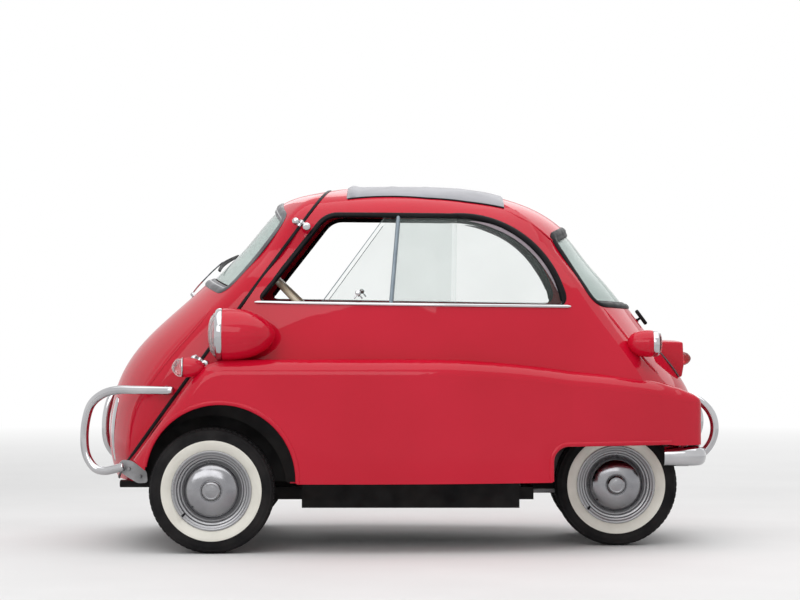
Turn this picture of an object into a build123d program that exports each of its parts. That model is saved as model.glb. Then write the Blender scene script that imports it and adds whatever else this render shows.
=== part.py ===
from build123d import *
import math
import os

# A small egg-shaped bubble car with one front door. Millimetres, +Z up, floor at Z 0.
# The nose points to -X and the left side is -Y. The origin is midway along and across.
os.makedirs("parts", exist_ok=True)

# Driving dimensions: running gear
front_axle_x = -688
wheelbase = 1500
rear_axle_x = front_axle_x + wheelbase
front_track = 1200
rear_track = 520
tyre_radius = 230
tyre_width = 122
rim_flange_radius = 143
rim_width = 96
rim_metal = 6
bead_gap = 0.3
hubcap_radius = 100
hubcap_height = 34
hubcap_shoulder = 0.72
boss_radius = 35
boss_height = 14
kingpin_y = 530
kingpin_radius = 10
kingpin_half_length = 62
pin_clearance = 0.4
stub_radius = 15
drum_radius = 84
drum_width = 30
steer_gap = 6
tyre_wide_radius = 190
tyre_bead_half = 36
tread_half = 46
rim_lip = 12
disc_y = 14
disc_dish = 12
dish_radius = 96
hub_ring_radius = 34
dish_draft = 10
dish_step = 12
hub_radius = 34
hub_recess = 10
drum_y = -8

# Driving dimensions: shell
wall = 28
run_through = 1400
skin_clearance = 0.4
door_gap = 8
gap_top_x = -266
gap_top_z = 1346
gap_slope = 1.364
fender_half_width = 690
fender_wall = 22
fender_bottom_z = 256
arch_x = -655
arch_z = 270
arch_radius = 280
well_radius = 276
well_wall = 8
well_inner_y = 428
rear_cut_z = 392
rear_cut_x = 560
rear_cut_blend = 60

# Driving dimensions: glass and seals
glass_inset = 10
glass_thickness = 5
slide_inset = 17
seal_width = 20
seal_proud = 4
seal_depth = 24
window_frame_width = 16
window_corner = 38

# Level sections of the shell from the sills up to the roof.
# Columns: height, nose x, tail x, half width, x where widest, nose corner x and y,
# tail corner x and y, nose corner radius, tail corner radius, lean (0 upright wall, 1 flat roof)
SHELL_LEVELS = [
    (250, -1085, 1105, 548, -130, -985, 436, 955, 430, 110, 110, 0.0),
    (420, -1116, 1126, 572, -130, -990, 464, 960, 448, 120, 110, 0.0),
    (600, -1085, 1094, 588, -100, -925, 482, 915, 455, 140, 110, 0.1),
    (740, -1003, 992, 592, -60, -830, 484, 825, 452, 140, 110, 0.25),
    (900, -836, 870, 582, -40, -672, 484, 705, 438, 125, 100, 0.45),
    (1050, -676, 744, 555, -30, -532, 462, 600, 410, 110, 90, 0.5),
    (1200, -541, 618, 512, -20, -425, 426, 495, 365, 95, 80, 0.6),
    (1260, -487, 530, 482, 0, -382, 404, 430, 335, 85, 75, 0.75),
    (1300, -430, 432, 432, 0, -338, 352, 350, 292, 75, 65, 0.88),
    (1328, -335, 330, 335, 0, -262, 258, 262, 218, 60, 50, 0.96),
    (1345, -215, 190, 190, 0, -168, 140, 140, 122, 30, 25, 1.0),
]

shell_low_z = SHELL_LEVELS[0][0]

# Driving dimensions: pontoon fender, in plan and in side view
fender_root_y = 300
fender_front = (-1010, 575)
fender_straight_x = (-640, -200)
fender_tail = (1062, 418)
fender_top_z = 708
fender_level_x = (-560, 60)
fender_tail_z = 562
fender_step = 16
fender_front_bend = 150
fender_shoulder = 62

# Driving dimensions: door hinge, on the left side of the gap
hinge_low_z = 702
hinge_low_y = -575
hinge_high_z = 1208
hinge_high_y = -500
hinge_pin_radius = 5
hinge_knuckle_radius = 10
hinge_knuckle_length = 26
hinge_arm = 30
hinge_reach = 90

# Driving dimensions: windows in front, side and rear view
windscreen_low_z = 985
windscreen_low_corner = (436, 948)
windscreen_high_corner = (384, 1232)
windscreen_high_z = 1286
side_window_low = (-487, 920)
side_window_front_top = (-254, 1246)
side_window_rear_top = (190, 1242)
side_window_bow = (505, 1128)
side_window_rear = (622, 902)
divider_x = -45
divider_width = 22
divider_z = 1080
divider_height = 400
pane_lap = 10
pane_edge_low_x = -294
pane_edge_high_x = -92
pane_rear_x = 213
rear_window_low_z = 893
rear_window_low_corner = (405, 905)
rear_window_high_corner = (325, 1165)
rear_window_high_z = 1194
panel_split_z = 1262
tail_split_x = 660
tail_split_z = 900
tail_split_lean = 0.4

# Driving dimensions: folding roof
roof_front_x = -205
roof_rear_x = 401
roof_half_width = 355
roof_proud = 12
roof_lap = 35
roof_corner = 60
roof_tool_z = 1200

# Driving dimensions: floor, frame and axles
floor_z = 252
floor_thickness = 6
floor_rear_x = 470
frame_tube = 45
frame_half_width = 330
frame_front_x = -640
frame_rear_x = 500
axle_tube_radius = 30
sill_front_x = -365
sill_rear_x = 444
sill_y = 410
sill_z = 200
sill_width = 60
sill_height = 96
body_mount_x = (-500, 0, 400)
axle_beam_z = 214
yoke_bar_y = 478
yoke_bar = 20
yoke_plate = 14
yoke_radius = 17
pin_gap = 0.5
stub_reach = 4
plate_thickness = 4
housing_half = 188
housing_radius = 32
chain_case_y = 40
chain_case_width = 44
chain_case_radius = 60
chain_case_reach = 200
chain_case_rise = 70
spring_y = 170
spring_width = 30
spring_thickness = 14
engine_x = 606
engine_y = 80
engine_length = 210
engine_width = 200
engine_height = 380
engine_arm_y = (10, 120)
engine_arm_length = 200
engine_corner = 30

# Driving dimensions: nose brackets and exhaust
nose_bracket_x = -1000
nose_bracket_length = 90
nose_bracket_y = 365
nose_bracket_width = 60
nose_bracket_height = 24
bracket_plate = 6
exhaust_y = 120
exhaust_z = 330
exhaust_pipe_radius = 19
silencer_x = 985
silencer_radius = 52
silencer_half = 140
tail_pipe_y = 90
tail_pipe_z = 288
tail_pipe_radius = 14
tail_pipe_end_x = 1122

# Driving dimensions: seat and cabin
seat_front_x = -30
seat_depth = 400
seat_half_width = 490
seat_base_z = 400
seat_thickness = 130
seat_back_thickness = 110
seat_back_height = 400
shelf_z = 760
steering_wheel_radius = 200
steering_rim_radius = 12
steering_y = -270
steering_hub = (-356, 856)
steering_tilt = 45
column_radius = 17
column_length = 600
hub_boss_radius = 28
hub_boss_length = 40
spoke_width = 26
spoke_thickness = 10
seat_corner = 60
seat_edge = 35
seat_back_shift = 20
seat_base_margin = 60
seat_back_margin = 40
soft_gap = 0.3
dash_z = 880
dash_thickness = 20
dash_low_z = 800
dash_rear_x = -660
pod_rear_x = -555
pod_depth = 200
strut_x = -600
strut_radius = 14
pod_width = 170
pod_corner = 20
dash_reach = 300
ring_depth = 12

# Driving dimensions: lamps
headlamp_z = 800
headlamp_y = 612
headlamp_ring_x = -657
headlamp_radius = 94
headlamp_pod_length = 202
indicator_z = 674
indicator_y = 640
indicator_x = -806
indicator_radius = 30
indicator_pod_length = 150
tail_lamp_z = 762
tail_lamp_y = 400
tail_lamp_x = 938
tail_lamp_radius = 50
tail_pod_length = 90
tail_pod_root = 34
tail_dome = 12
tail_pod_step = 30
bullet_tail = 0.66
bullet_crown = 0.9
bullet_middle = (0.6, 0.93)
headlamp_dome = 30
indicator_dome = 24
lens_margin = 6
PLATE_BOX_SIDE = [(985, 784), (1105, 690), (1095, 640), (1060, 634), (960, 720)]
plate_box_half = 150
tail_handle_x = 895
tail_handle_z = 852
tail_handle_half = 14
tail_handle_size = (44, 40)
tail_handle_corner = 12

# Driving dimensions: engine lid on the right side
lid_x = 460
lid_z = 500
lid_length = 250
lid_height = 190
lid_corner = 30
lid_gap = 6
lid_pin_out = 11
lid_pin_radius = 4
lid_knuckle_radius = 7
lid_knuckle_half = 10
lid_knuckle_spread = 60
lid_knuckle_reach = 22

# Driving dimensions: chrome guards and bumpers
guard_radius = 16
guard_start = (-830, -566)
guard_nose = (-1185, -400)
guard_top_z = 593
guard_low_z = 292
guard_tail_length = 84
guard_foot_radius = 11
guard_foot_low_x = -1060
guard_foot_high_x = -856
guard_top_bend = 150
guard_low_bend = 62
strip_y = 235
strip_width = 44
strip_low_z = 314
strip_high_z = 555
strip_corner = 18
rear_guard_y = 282
rear_guard_x = 1184.8
rear_guard_top = (1040, 560)
rear_guard_low = (1110, 330)
rear_guard_bow_z = 435
blade_x = 1129
blade_half = 395
blade_wrap_x = 984
blade_low_z = 306
blade_height = 70
blade_thickness = 8
blade_bend = 110


def shell_solid(inset):
    """The shell filled solid, its skin moved inwards by inset."""
    with BuildPart() as solid:
        for (height, nose_x, tail_x, half, wide_x, nose_cx, nose_cy, tail_cx, tail_cy,
             nose_r, tail_r, lean) in SHELL_LEVELS:
            side = inset * math.sqrt(1 - lean**2)
            nose = (nose_cx + side, nose_cy - side)
            tail = (tail_cx - side, tail_cy - side)
            with BuildSketch(Plane.XY.offset(height - inset * lean)):
                with BuildLine():
                    ThreePointArc((nose[0], -nose[1]), (nose_x + side, 0), nose)
                    ThreePointArc(nose, (wide_x, half - side), tail)
                    ThreePointArc(tail, (tail_x - side, 0), (tail[0], -tail[1]))
                    ThreePointArc((tail[0], -tail[1]), (wide_x, side - half), (nose[0], -nose[1]))
                make_face()
                corners = vertices().sort_by(Axis.X)
                fillet(corners[:2], radius=nose_r - side / 2)
                fillet(corners[2:], radius=tail_r - side / 2)
        loft()
    return solid.part


def gap_plane(shift):
    """The plane of the door gap, moved towards the tail by shift."""
    normal = Vector(gap_slope, 0, -1).normalized()
    origin = Vector(gap_top_x, 0, gap_top_z) + normal * shift
    return Plane(origin=origin, x_dir=(0, 1, 0), z_dir=normal)


def gap_x(height):
    """Where the door gap crosses a height, in side view."""
    return gap_top_x - (gap_top_z - height) / gap_slope


def arc_drop(run, drop):
    """The radius of an arc that starts level and falls by drop over a run."""
    return (run**2 + drop**2) / (2 * drop)


def fender_solid(inset):
    """The left fender filled solid, its skin moved inwards by inset."""
    half = fender_half_width - inset
    top = fender_top_z - inset
    base = fender_bottom_z - 3 * inset
    front_x, front_y = fender_front[0], fender_front[1] - inset
    tail_x, tail_y = fender_tail[0] - inset, fender_tail[1] - inset
    front_run = fender_straight_x[0] - front_x
    front_mid = front_run / 2
    front_arc = arc_drop(front_run, half - front_y)
    tail_run = tail_x - fender_straight_x[1]
    tail_mid = tail_run / 2
    tail_arc = arc_drop(tail_run, half - tail_y)
    fall_run = fender_tail[0] - fender_level_x[1]
    fall_mid = fall_run / 2
    fall_arc = arc_drop(fall_run, fender_top_z - fender_tail_z)
    front_line = gap_plane(door_gap / 2 + fender_step + inset).origin
    foot_x = front_line.X - (front_line.Z - base) / gap_slope
    head_x = front_line.X - (front_line.Z - top) / gap_slope
    with BuildPart() as solid:
        with BuildSketch(Plane.XY.offset(base)):
            with BuildLine():
                Polyline((front_x, -front_y), (front_x, -fender_root_y), (tail_x, -fender_root_y),
                         (tail_x, -tail_y))
                ThreePointArc((tail_x, -tail_y),
                              (fender_straight_x[1] + tail_mid,
                               -half + tail_arc - math.sqrt(tail_arc**2 - tail_mid**2)),
                              (fender_straight_x[1], -half))
                Line((fender_straight_x[1], -half), (fender_straight_x[0], -half))
                ThreePointArc((fender_straight_x[0], -half),
                              (fender_straight_x[0] - front_mid,
                               -half + front_arc - math.sqrt(front_arc**2 - front_mid**2)),
                              (front_x, -front_y))
            make_face()
        extrude(amount=top - base)
        with BuildSketch(Plane.XZ, mode=Mode.PRIVATE) as side_view:
            with BuildLine():
                Polyline((fender_tail[0], fender_tail_z - inset), (fender_tail[0], base), (foot_x, base),
                         (head_x, top), (fender_level_x[1], top))
                ThreePointArc((fender_level_x[1], top),
                              (fender_level_x[1] + fall_mid,
                               top - fall_arc + math.sqrt(fall_arc**2 - fall_mid**2)),
                              (fender_tail[0], fender_tail_z - inset))
            make_face()
            fillet(vertices().sort_by_distance((head_x, top))[0], radius=fender_front_bend - inset)
        extrude(side_view.sketch, amount=run_through, both=True, mode=Mode.INTERSECT)
        rim = [edge for edge in edges() if edge.center().Z > base + 1
               and edge.center().Y < -fender_root_y - fender_shoulder and edge.center().X < tail_x - 1
               and edge.center().X > front_x + 1]
        fillet(rim, radius=fender_shoulder - inset)
    return solid.part


def cap_middle(base, depth, radius):
    """The middle point of a spherical cap's arc, from its rim to its top on the axis."""
    ball = arc_drop(radius, abs(depth))
    half_turn = math.asin(radius / ball) / 2
    rise = abs(depth) - ball * (1 - math.cos(half_turn))
    return (base + math.copysign(rise, depth), ball * math.sin(half_turn))


def finish(piece, label):
    """Names a piece and writes its file."""
    piece.label = label
    export_step(piece, "parts/" + label + ".step")


def both_sides(piece):
    """A left-hand piece and its mirror image, as one."""
    return Compound(children=[piece, piece.mirror(Plane.XZ)])


def keep(piece, tool):
    """The part of a piece inside a tool."""
    with BuildPart() as kept:
        add(piece)
        add(tool, mode=Mode.INTERSECT)
    return kept.part


def windscreen_tool(inset):
    """The windscreen's outline in front view, moved inwards by inset, run through the nose."""
    with BuildPart() as tool:
        with BuildSketch(Plane.YZ.offset(-run_through)):
            with BuildLine():
                low_y, low_z = windscreen_low_corner
                high_y, high_z = windscreen_high_corner
                ThreePointArc((-low_y, low_z), (0, windscreen_low_z), (low_y, low_z))
                Line((low_y, low_z), (high_y, high_z))
                ThreePointArc((high_y, high_z), (0, windscreen_high_z), (-high_y, high_z))
                Line((-high_y, high_z), (-low_y, low_z))
            make_face()
            fillet(vertices(), radius=window_corner)
            offset(amount=-inset)
        extrude(amount=run_through)
    return tool.part


def side_window_tool(inset):
    """Both side windows' outline in side view, moved inwards by inset, run across the car."""
    with BuildPart() as tool:
        with BuildSketch(Plane.XZ):
            with BuildLine():
                Line(side_window_low, side_window_front_top)
                Line(side_window_front_top, side_window_rear_top)
                ThreePointArc(side_window_rear_top, side_window_bow, side_window_rear)
                Line(side_window_rear, side_window_low)
            make_face()
            fillet(vertices(), radius=window_corner)
            offset(amount=-inset)
        extrude(amount=fender_half_width, both=True)
    return tool.part


def rear_window_tool(inset):
    """The rear window's outline in rear view, moved inwards by inset, run through the tail."""
    with BuildPart() as tool:
        with BuildSketch(Plane.YZ):
            with BuildLine():
                low_y, low_z = rear_window_low_corner
                high_y, high_z = rear_window_high_corner
                ThreePointArc((-low_y, low_z), (0, rear_window_low_z), (low_y, low_z))
                Line((low_y, low_z), (high_y, high_z))
                ThreePointArc((high_y, high_z), (0, rear_window_high_z), (-high_y, high_z))
                Line((-high_y, high_z), (-low_y, low_z))
            make_face()
            fillet(vertices(), radius=window_corner)
            offset(amount=-inset)
        extrude(amount=run_through)
    return tool.part


def roof_tool(margin):
    """The folding roof's outline in top view, moved outwards by margin."""
    with BuildPart() as tool:
        with BuildSketch(Plane.XY.offset(roof_tool_z)):
            with Locations(((roof_front_x + roof_rear_x) / 2, 0)):
                RectangleRounded(roof_rear_x - roof_front_x + 2 * margin,
                                 2 * (roof_half_width + margin), roof_corner + margin)
        extrude(amount=run_through - roof_tool_z)
    return tool.part


# Shared solids that shape and trim the panels
shell_outer = shell_solid(0)
shell_inner = shell_solid(wall)
cabin_space = shell_solid(wall + skin_clearance)
skin_clear = shell_solid(-skin_clearance)
seal_outer = shell_solid(-seal_proud)
seal_inner = shell_solid(seal_depth)
glass_outer = shell_solid(glass_inset)
glass_inner = shell_solid(glass_inset + glass_thickness)
slide_outer = shell_solid(slide_inset)
slide_inner = shell_solid(slide_inset + glass_thickness)
cover_outer = shell_solid(-roof_proud)

with BuildPart() as seal_layer:
    add(seal_outer)
    add(seal_inner, mode=Mode.SUBTRACT)
with BuildPart() as glass_layer:
    add(glass_outer)
    add(glass_inner, mode=Mode.SUBTRACT)
with BuildPart() as slide_layer:
    add(slide_outer)
    add(slide_inner, mode=Mode.SUBTRACT)
with BuildPart() as cover_layer:
    add(cover_outer)
    add(skin_clear, mode=Mode.SUBTRACT)

# Front wheel wells: a drum each side round the steered wheel
with BuildPart() as well_tool:
    with BuildSketch(Plane.XZ.offset(well_inner_y - well_wall)):
        with Locations((front_axle_x, tyre_radius)):
            Circle(well_radius + well_wall)
    extrude(amount=fender_half_width)
with BuildPart() as well_hollow:
    with BuildSketch(Plane.XZ.offset(well_inner_y)):
        with Locations((front_axle_x, tyre_radius)):
            Circle(well_radius)
    extrude(amount=fender_half_width)
well_tools = [well_tool.part, well_tool.part.mirror(Plane.XZ)]

with BuildPart() as rear_cut:
    with BuildSketch(Plane.XZ):
        with BuildLine():
            Polyline((rear_cut_x, 0), (rear_cut_x, rear_cut_z), (run_through, rear_cut_z),
                     (run_through, 0), close=True)
        make_face()
        fillet(vertices().sort_by_distance((rear_cut_x, 0, rear_cut_z))[0], radius=rear_cut_blend)
    extrude(amount=run_through, both=True)

windscreen_cut = windscreen_tool(-skin_clearance)
side_window_cut = side_window_tool(-skin_clearance)
rear_window_cut = rear_window_tool(-skin_clearance)

with BuildPart() as shell_wall:
    add(shell_outer)
    add(shell_inner, mode=Mode.SUBTRACT)
    add([windscreen_cut, side_window_cut, rear_window_cut, rear_cut.part], mode=Mode.SUBTRACT)
    add(well_tools, mode=Mode.SUBTRACT)
    add(roof_tool(-roof_lap), mode=Mode.SUBTRACT)

# Door panel: all the shell ahead of the gap
with BuildPart() as door_panel:
    add(shell_wall.part)
    split(bisect_by=gap_plane(-door_gap / 2), keep=Keep.BOTTOM)
finish(door_panel.part, "door_panel")

with BuildPart() as hull:
    add(shell_wall.part)
    split(bisect_by=gap_plane(door_gap / 2), keep=Keep.TOP)
roof_plane = Plane.XY.offset(panel_split_z)
tail_plane = Plane(origin=(tail_split_x, 0, tail_split_z), x_dir=(0, 1, 0), z_dir=(1, 0, tail_split_lean))
with BuildPart() as roof_panel:
    add(hull.part)
    split(bisect_by=roof_plane, keep=Keep.TOP)
finish(roof_panel.part, "roof_panel")
with BuildPart() as lower_hull:
    add(hull.part)
    split(bisect_by=roof_plane, keep=Keep.BOTTOM)
with BuildPart() as tail_panel:
    add(lower_hull.part)
    split(bisect_by=tail_plane, keep=Keep.TOP)
finish(tail_panel.part, "tail_panel")
with BuildPart() as side_panel_left:
    add(lower_hull.part)
    split(bisect_by=tail_plane, keep=Keep.BOTTOM)
    split(bisect_by=Plane.XZ, keep=Keep.TOP)
finish(side_panel_left.part, "side_panel_left")
finish(side_panel_left.part.mirror(Plane.XZ), "side_panel_right")


# Pontoon fenders
fender_clear = fender_solid(-skin_clearance)
with BuildPart() as arch_tool:
    with BuildSketch(Plane.XZ):
        with Locations((arch_x, arch_z)):
            Circle(arch_radius)
        with Locations((arch_x, arch_z - arch_radius / 2)):
            Rectangle(2 * arch_radius, arch_radius)
    extrude(amount=run_through, both=True)
with BuildPart() as fender_left:
    add(fender_solid(0))
    add(fender_solid(fender_wall), mode=Mode.SUBTRACT)
    add([arch_tool.part, rear_cut.part], mode=Mode.SUBTRACT)
    add(skin_clear, mode=Mode.SUBTRACT)
finish(fender_left.part, "fender_left")


def lid_tool(margin):
    """The engine lid's outline in side view, moved outwards by margin, run through the right side."""
    with BuildPart() as tool:
        with BuildSketch(Plane.XZ.offset(-fender_root_y)):
            with Locations((lid_x, lid_z)):
                RectangleRounded(lid_length + 2 * margin, lid_height + 2 * margin, lid_corner + margin)
        extrude(amount=-fender_half_width)
    return tool.part


fender_mirror = fender_left.part.mirror(Plane.XZ)
with BuildPart() as fender_right:
    add(fender_mirror)
    add(lid_tool(lid_gap), mode=Mode.SUBTRACT)
finish(fender_right.part, "fender_right")


def fender_side_y(x):
    """How far out the fender's side is at an x behind its straight stretch."""
    arc = arc_drop(fender_tail[0] - fender_straight_x[1], fender_half_width - fender_tail[1])
    return fender_half_width - arc + math.sqrt(arc**2 - (x - fender_straight_x[1])**2)


lid_low_z = lid_z - lid_height / 2
lid_front_y = fender_side_y(lid_x - lid_length / 2)
lid_rear_y = fender_side_y(lid_x + lid_length / 2)
lid_line = Vector(lid_length, lid_rear_y - lid_front_y, 0).normalized()
lid_pin = Vector(lid_x, (lid_front_y + lid_rear_y) / 2, lid_low_z) + Vector(0, lid_pin_out, -lid_gap / 2)


def lid_knuckle(along, half_length, reach, bore):
    """A hinge knuckle on the lid's pin line, with an arm up (reach > 0) or down to its panel."""
    plane = Plane(origin=lid_pin + lid_line * (along - half_length), x_dir=(0, 0, 1), z_dir=lid_line)
    inwards = 1 if plane.y_dir.Y < 0 else -1
    with BuildPart() as knuckle_solid:
        with BuildSketch(plane):
            Circle(lid_knuckle_radius)
            with Locations((reach / 2, inwards * lid_pin_out / 2)):
                Rectangle(abs(reach), lid_pin_out + 2 * lid_knuckle_radius)
            Circle(bore, mode=Mode.SUBTRACT)
        extrude(amount=2 * half_length)
    return knuckle_solid.part


with BuildPart() as engine_lid:
    add(keep(fender_mirror, lid_tool(0)))
    for along in (-lid_knuckle_spread, lid_knuckle_spread):
        add(lid_knuckle(along, lid_knuckle_half, lid_knuckle_reach, lid_pin_radius + pin_clearance))
finish(engine_lid.part, "engine_lid")
with BuildPart() as lid_hinge:
    for along in (-lid_knuckle_spread - 3 * lid_knuckle_half, 0, lid_knuckle_spread + 3 * lid_knuckle_half):
        add(lid_knuckle(along, lid_knuckle_half, -lid_knuckle_reach, lid_pin_radius - 1))
    with BuildSketch(Plane(origin=lid_pin - lid_line * (lid_knuckle_spread + 4 * lid_knuckle_half),
                           x_dir=(0, 0, 1), z_dir=lid_line)):
        Circle(lid_pin_radius)
    extrude(amount=2 * lid_knuckle_spread + 8 * lid_knuckle_half)
    add(fender_right.part, mode=Mode.SUBTRACT)

# Wheel well liners, floor, bulkhead and shelf
with BuildPart() as wheel_wells:
    add(well_tools)
    add([well_hollow.part, well_hollow.part.mirror(Plane.XZ)], mode=Mode.SUBTRACT)
    add(shell_outer, mode=Mode.INTERSECT)
    split(bisect_by=gap_plane(door_gap), keep=Keep.TOP)
finish(wheel_wells.part, "wheel_wells")

with BuildPart() as floor_pan:
    with BuildSketch(Plane.XY.offset(floor_z)):
        with Locations(((floor_rear_x - run_through) / 2, 0)):
            Rectangle(floor_rear_x + run_through, run_through)
    extrude(amount=floor_thickness)
    add(cabin_space, mode=Mode.INTERSECT)
    add(well_tools, mode=Mode.SUBTRACT)
    split(bisect_by=gap_plane(door_gap), keep=Keep.TOP)
finish(floor_pan.part, "floor_pan")

with BuildPart() as rear_bulkhead:
    with BuildSketch(Plane.YZ.offset(floor_rear_x)):
        with Locations((0, (floor_z + shelf_z) / 2)):
            Rectangle(run_through, shelf_z - floor_z)
    extrude(amount=floor_thickness)
    with BuildSketch(Plane.XY.offset(shelf_z)):
        with Locations((floor_rear_x + run_through / 2, 0)):
            Rectangle(run_through, run_through)
    extrude(amount=floor_thickness)
    add(cabin_space, mode=Mode.INTERSECT)
finish(rear_bulkhead.part, "rear_bulkhead")

# Folding roof over its opening
finish(keep(cover_layer.part, roof_tool(0)), "folding_roof")


def layer_ring(layer, outer_tool, inner_tool):
    """A strip of a shell layer between two outlines."""
    with BuildPart() as ring:
        add(layer)
        add(outer_tool, mode=Mode.INTERSECT)
        add(inner_tool, mode=Mode.SUBTRACT)
    return ring.part


def left_half(piece):
    """The left half of a piece that straddles the middle."""
    with BuildPart() as half:
        add(piece)
        split(bisect_by=Plane.XZ, keep=Keep.TOP)
    return half.part


# Front and rear screens with their rubber seals
finish(keep(glass_layer.part, windscreen_tool(seal_width + skin_clearance)), "windscreen")
finish(layer_ring(seal_layer.part, windscreen_tool(0), windscreen_tool(seal_width)), "windscreen_seal")
finish(keep(glass_layer.part, rear_window_tool(seal_width + skin_clearance)), "rear_window")
finish(layer_ring(seal_layer.part, rear_window_tool(0), rear_window_tool(seal_width)), "rear_window_seal")

# Side windows: a black frame with a divider, a fixed rear pane and a front pane slid back inside it
with BuildPart() as divider:
    with BuildSketch(Plane.XZ):
        with Locations((divider_x, divider_z)):
            Rectangle(divider_width, divider_height)
    extrude(amount=fender_half_width, both=True)
with BuildPart() as frame_strip:
    add(side_window_tool(0))
    add(side_window_tool(window_frame_width), mode=Mode.SUBTRACT)
with BuildPart() as divider_layer:
    add(seal_outer)
    add(glass_inner, mode=Mode.SUBTRACT)
with BuildPart() as side_frame:
    add(keep(seal_layer.part, frame_strip.part))
    add(keep(divider_layer.part, keep(side_window_tool(0), divider.part)))
side_frame_left = left_half(side_frame.part)
finish(both_sides(side_frame_left), "side_window_frames")

with BuildPart() as fixed_tool:
    add(side_window_tool(window_frame_width + skin_clearance))
    split(bisect_by=Plane.YZ.offset(divider_x + divider_width / 2 + skin_clearance), keep=Keep.TOP)
with BuildPart() as slid_tool:
    with BuildSketch(Plane.XZ):
        with BuildLine():
            front_slope = ((pane_edge_high_x - pane_edge_low_x)
                           / (side_window_front_top[1] - side_window_low[1]))
            low_z = side_window_low[1] - pane_lap
            high_z = side_window_front_top[1] + pane_lap
            Polyline((pane_edge_low_x, low_z), (pane_edge_low_x + front_slope * (high_z - low_z), high_z),
                     (pane_rear_x, high_z), (pane_rear_x, low_z), close=True)
        make_face()
    extrude(amount=fender_half_width, both=True)
    add(side_window_tool(window_frame_width + skin_clearance), mode=Mode.INTERSECT)
fixed_pane_left = left_half(keep(glass_layer.part, fixed_tool.part))
slid_pane_left = left_half(keep(slide_layer.part, slid_tool.part))
finish(Compound(children=[both_sides(fixed_pane_left), both_sides(slid_pane_left)]), "side_panes")

# Chassis frame: box sections under the floor, tubes to the front axle and to the rear springs
with BuildPart() as chassis_frame:
    for side in (-1, 1):
        with BuildSketch(Plane.YZ.offset(sill_front_x)):
            with Locations((side * sill_y, sill_z)):
                Rectangle(sill_width, sill_height)
        extrude(amount=sill_rear_x - sill_front_x)
        with BuildSketch(Plane.YZ.offset(frame_front_x)):
            with Locations((side * frame_half_width, sill_z)):
                Rectangle(frame_tube, frame_tube)
        extrude(amount=frame_rear_x - frame_front_x)
    for x in (frame_front_x + frame_tube / 2, sill_front_x + frame_tube / 2, frame_rear_x - frame_tube / 2):
        with BuildSketch(Plane.XZ.offset(-frame_half_width)):
            with Locations((x, sill_z)):
                Rectangle(frame_tube, frame_tube)
        extrude(amount=2 * frame_half_width)
    for side in (-1, 1):
        for x in (sill_front_x + frame_tube / 2, sill_rear_x - frame_tube / 2):
            with BuildSketch(Plane.XZ.offset(side * frame_half_width)):
                with Locations((x, sill_z)):
                    Rectangle(frame_tube, frame_tube)
            extrude(amount=side * (sill_y - frame_half_width))
        for x in body_mount_x:
            with BuildSketch(Plane.XY.offset(sill_z)):
                with Locations((x, side * frame_half_width)):
                    Rectangle(frame_tube, frame_tube)
            extrude(amount=floor_z - sill_z)
    for y in engine_arm_y:
        with BuildSketch(Plane.YZ.offset(frame_rear_x)):
            with Locations((y, sill_z)):
                Rectangle(frame_tube, frame_tube)
        extrude(amount=engine_arm_length)
with BuildPart() as nose_bracket:
    with BuildSketch(Plane.XY.offset(shell_low_z - nose_bracket_height)):
        with Locations((nose_bracket_x, -nose_bracket_y)):
            Rectangle(nose_bracket_length, nose_bracket_width)
    extrude(amount=nose_bracket_height)
    with BuildSketch(Plane.XZ.offset(nose_bracket_y + nose_bracket_width / 2)):
        with Locations((nose_bracket_x + nose_bracket_height / 2, shell_low_z - nose_bracket_height / 2)):
            RectangleRounded(nose_bracket_length + nose_bracket_height, nose_bracket_height, bracket_plate)
    extrude(amount=bracket_plate)
finish(chassis_frame.part, "chassis_frame")
finish(both_sides(nose_bracket.part), "nose_brackets")

# Front axle beam with a yoke for the kingpin at each end
yoke_top_z = tyre_radius + kingpin_half_length + pin_gap
yoke_low_z = tyre_radius - kingpin_half_length - pin_gap - yoke_plate
with BuildPart() as front_axle:
    with BuildSketch(Plane.XZ.offset(-yoke_bar_y)):
        with Locations((front_axle_x, axle_beam_z)):
            Circle(axle_tube_radius)
    extrude(amount=2 * yoke_bar_y)
    for side in (-1, 1):
        with BuildSketch(Plane.XY.offset(yoke_low_z)):
            with Locations((front_axle_x, side * yoke_bar_y)):
                Rectangle(2 * yoke_radius, yoke_bar)
        extrude(amount=yoke_top_z + yoke_plate - yoke_low_z)
        for level in (yoke_low_z, yoke_top_z):
            with BuildSketch(Plane.XY.offset(level)):
                with Locations((front_axle_x, side * (yoke_bar_y + kingpin_y) / 2)):
                    Rectangle(2 * yoke_radius, kingpin_y - yoke_bar_y)
                with Locations((front_axle_x, side * kingpin_y)):
                    Circle(yoke_radius)
                with Locations((front_axle_x, side * kingpin_y)):
                    Circle(kingpin_radius + pin_clearance, mode=Mode.SUBTRACT)
            extrude(amount=yoke_plate)
    for side in (-1, 1):
        with BuildSketch(Plane.YZ.offset(front_axle_x)):
            with Locations((side * frame_half_width, axle_beam_z)):
                Rectangle(frame_tube, frame_tube)
        extrude(amount=frame_front_x - front_axle_x)
finish(front_axle.part, "front_axle")

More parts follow.
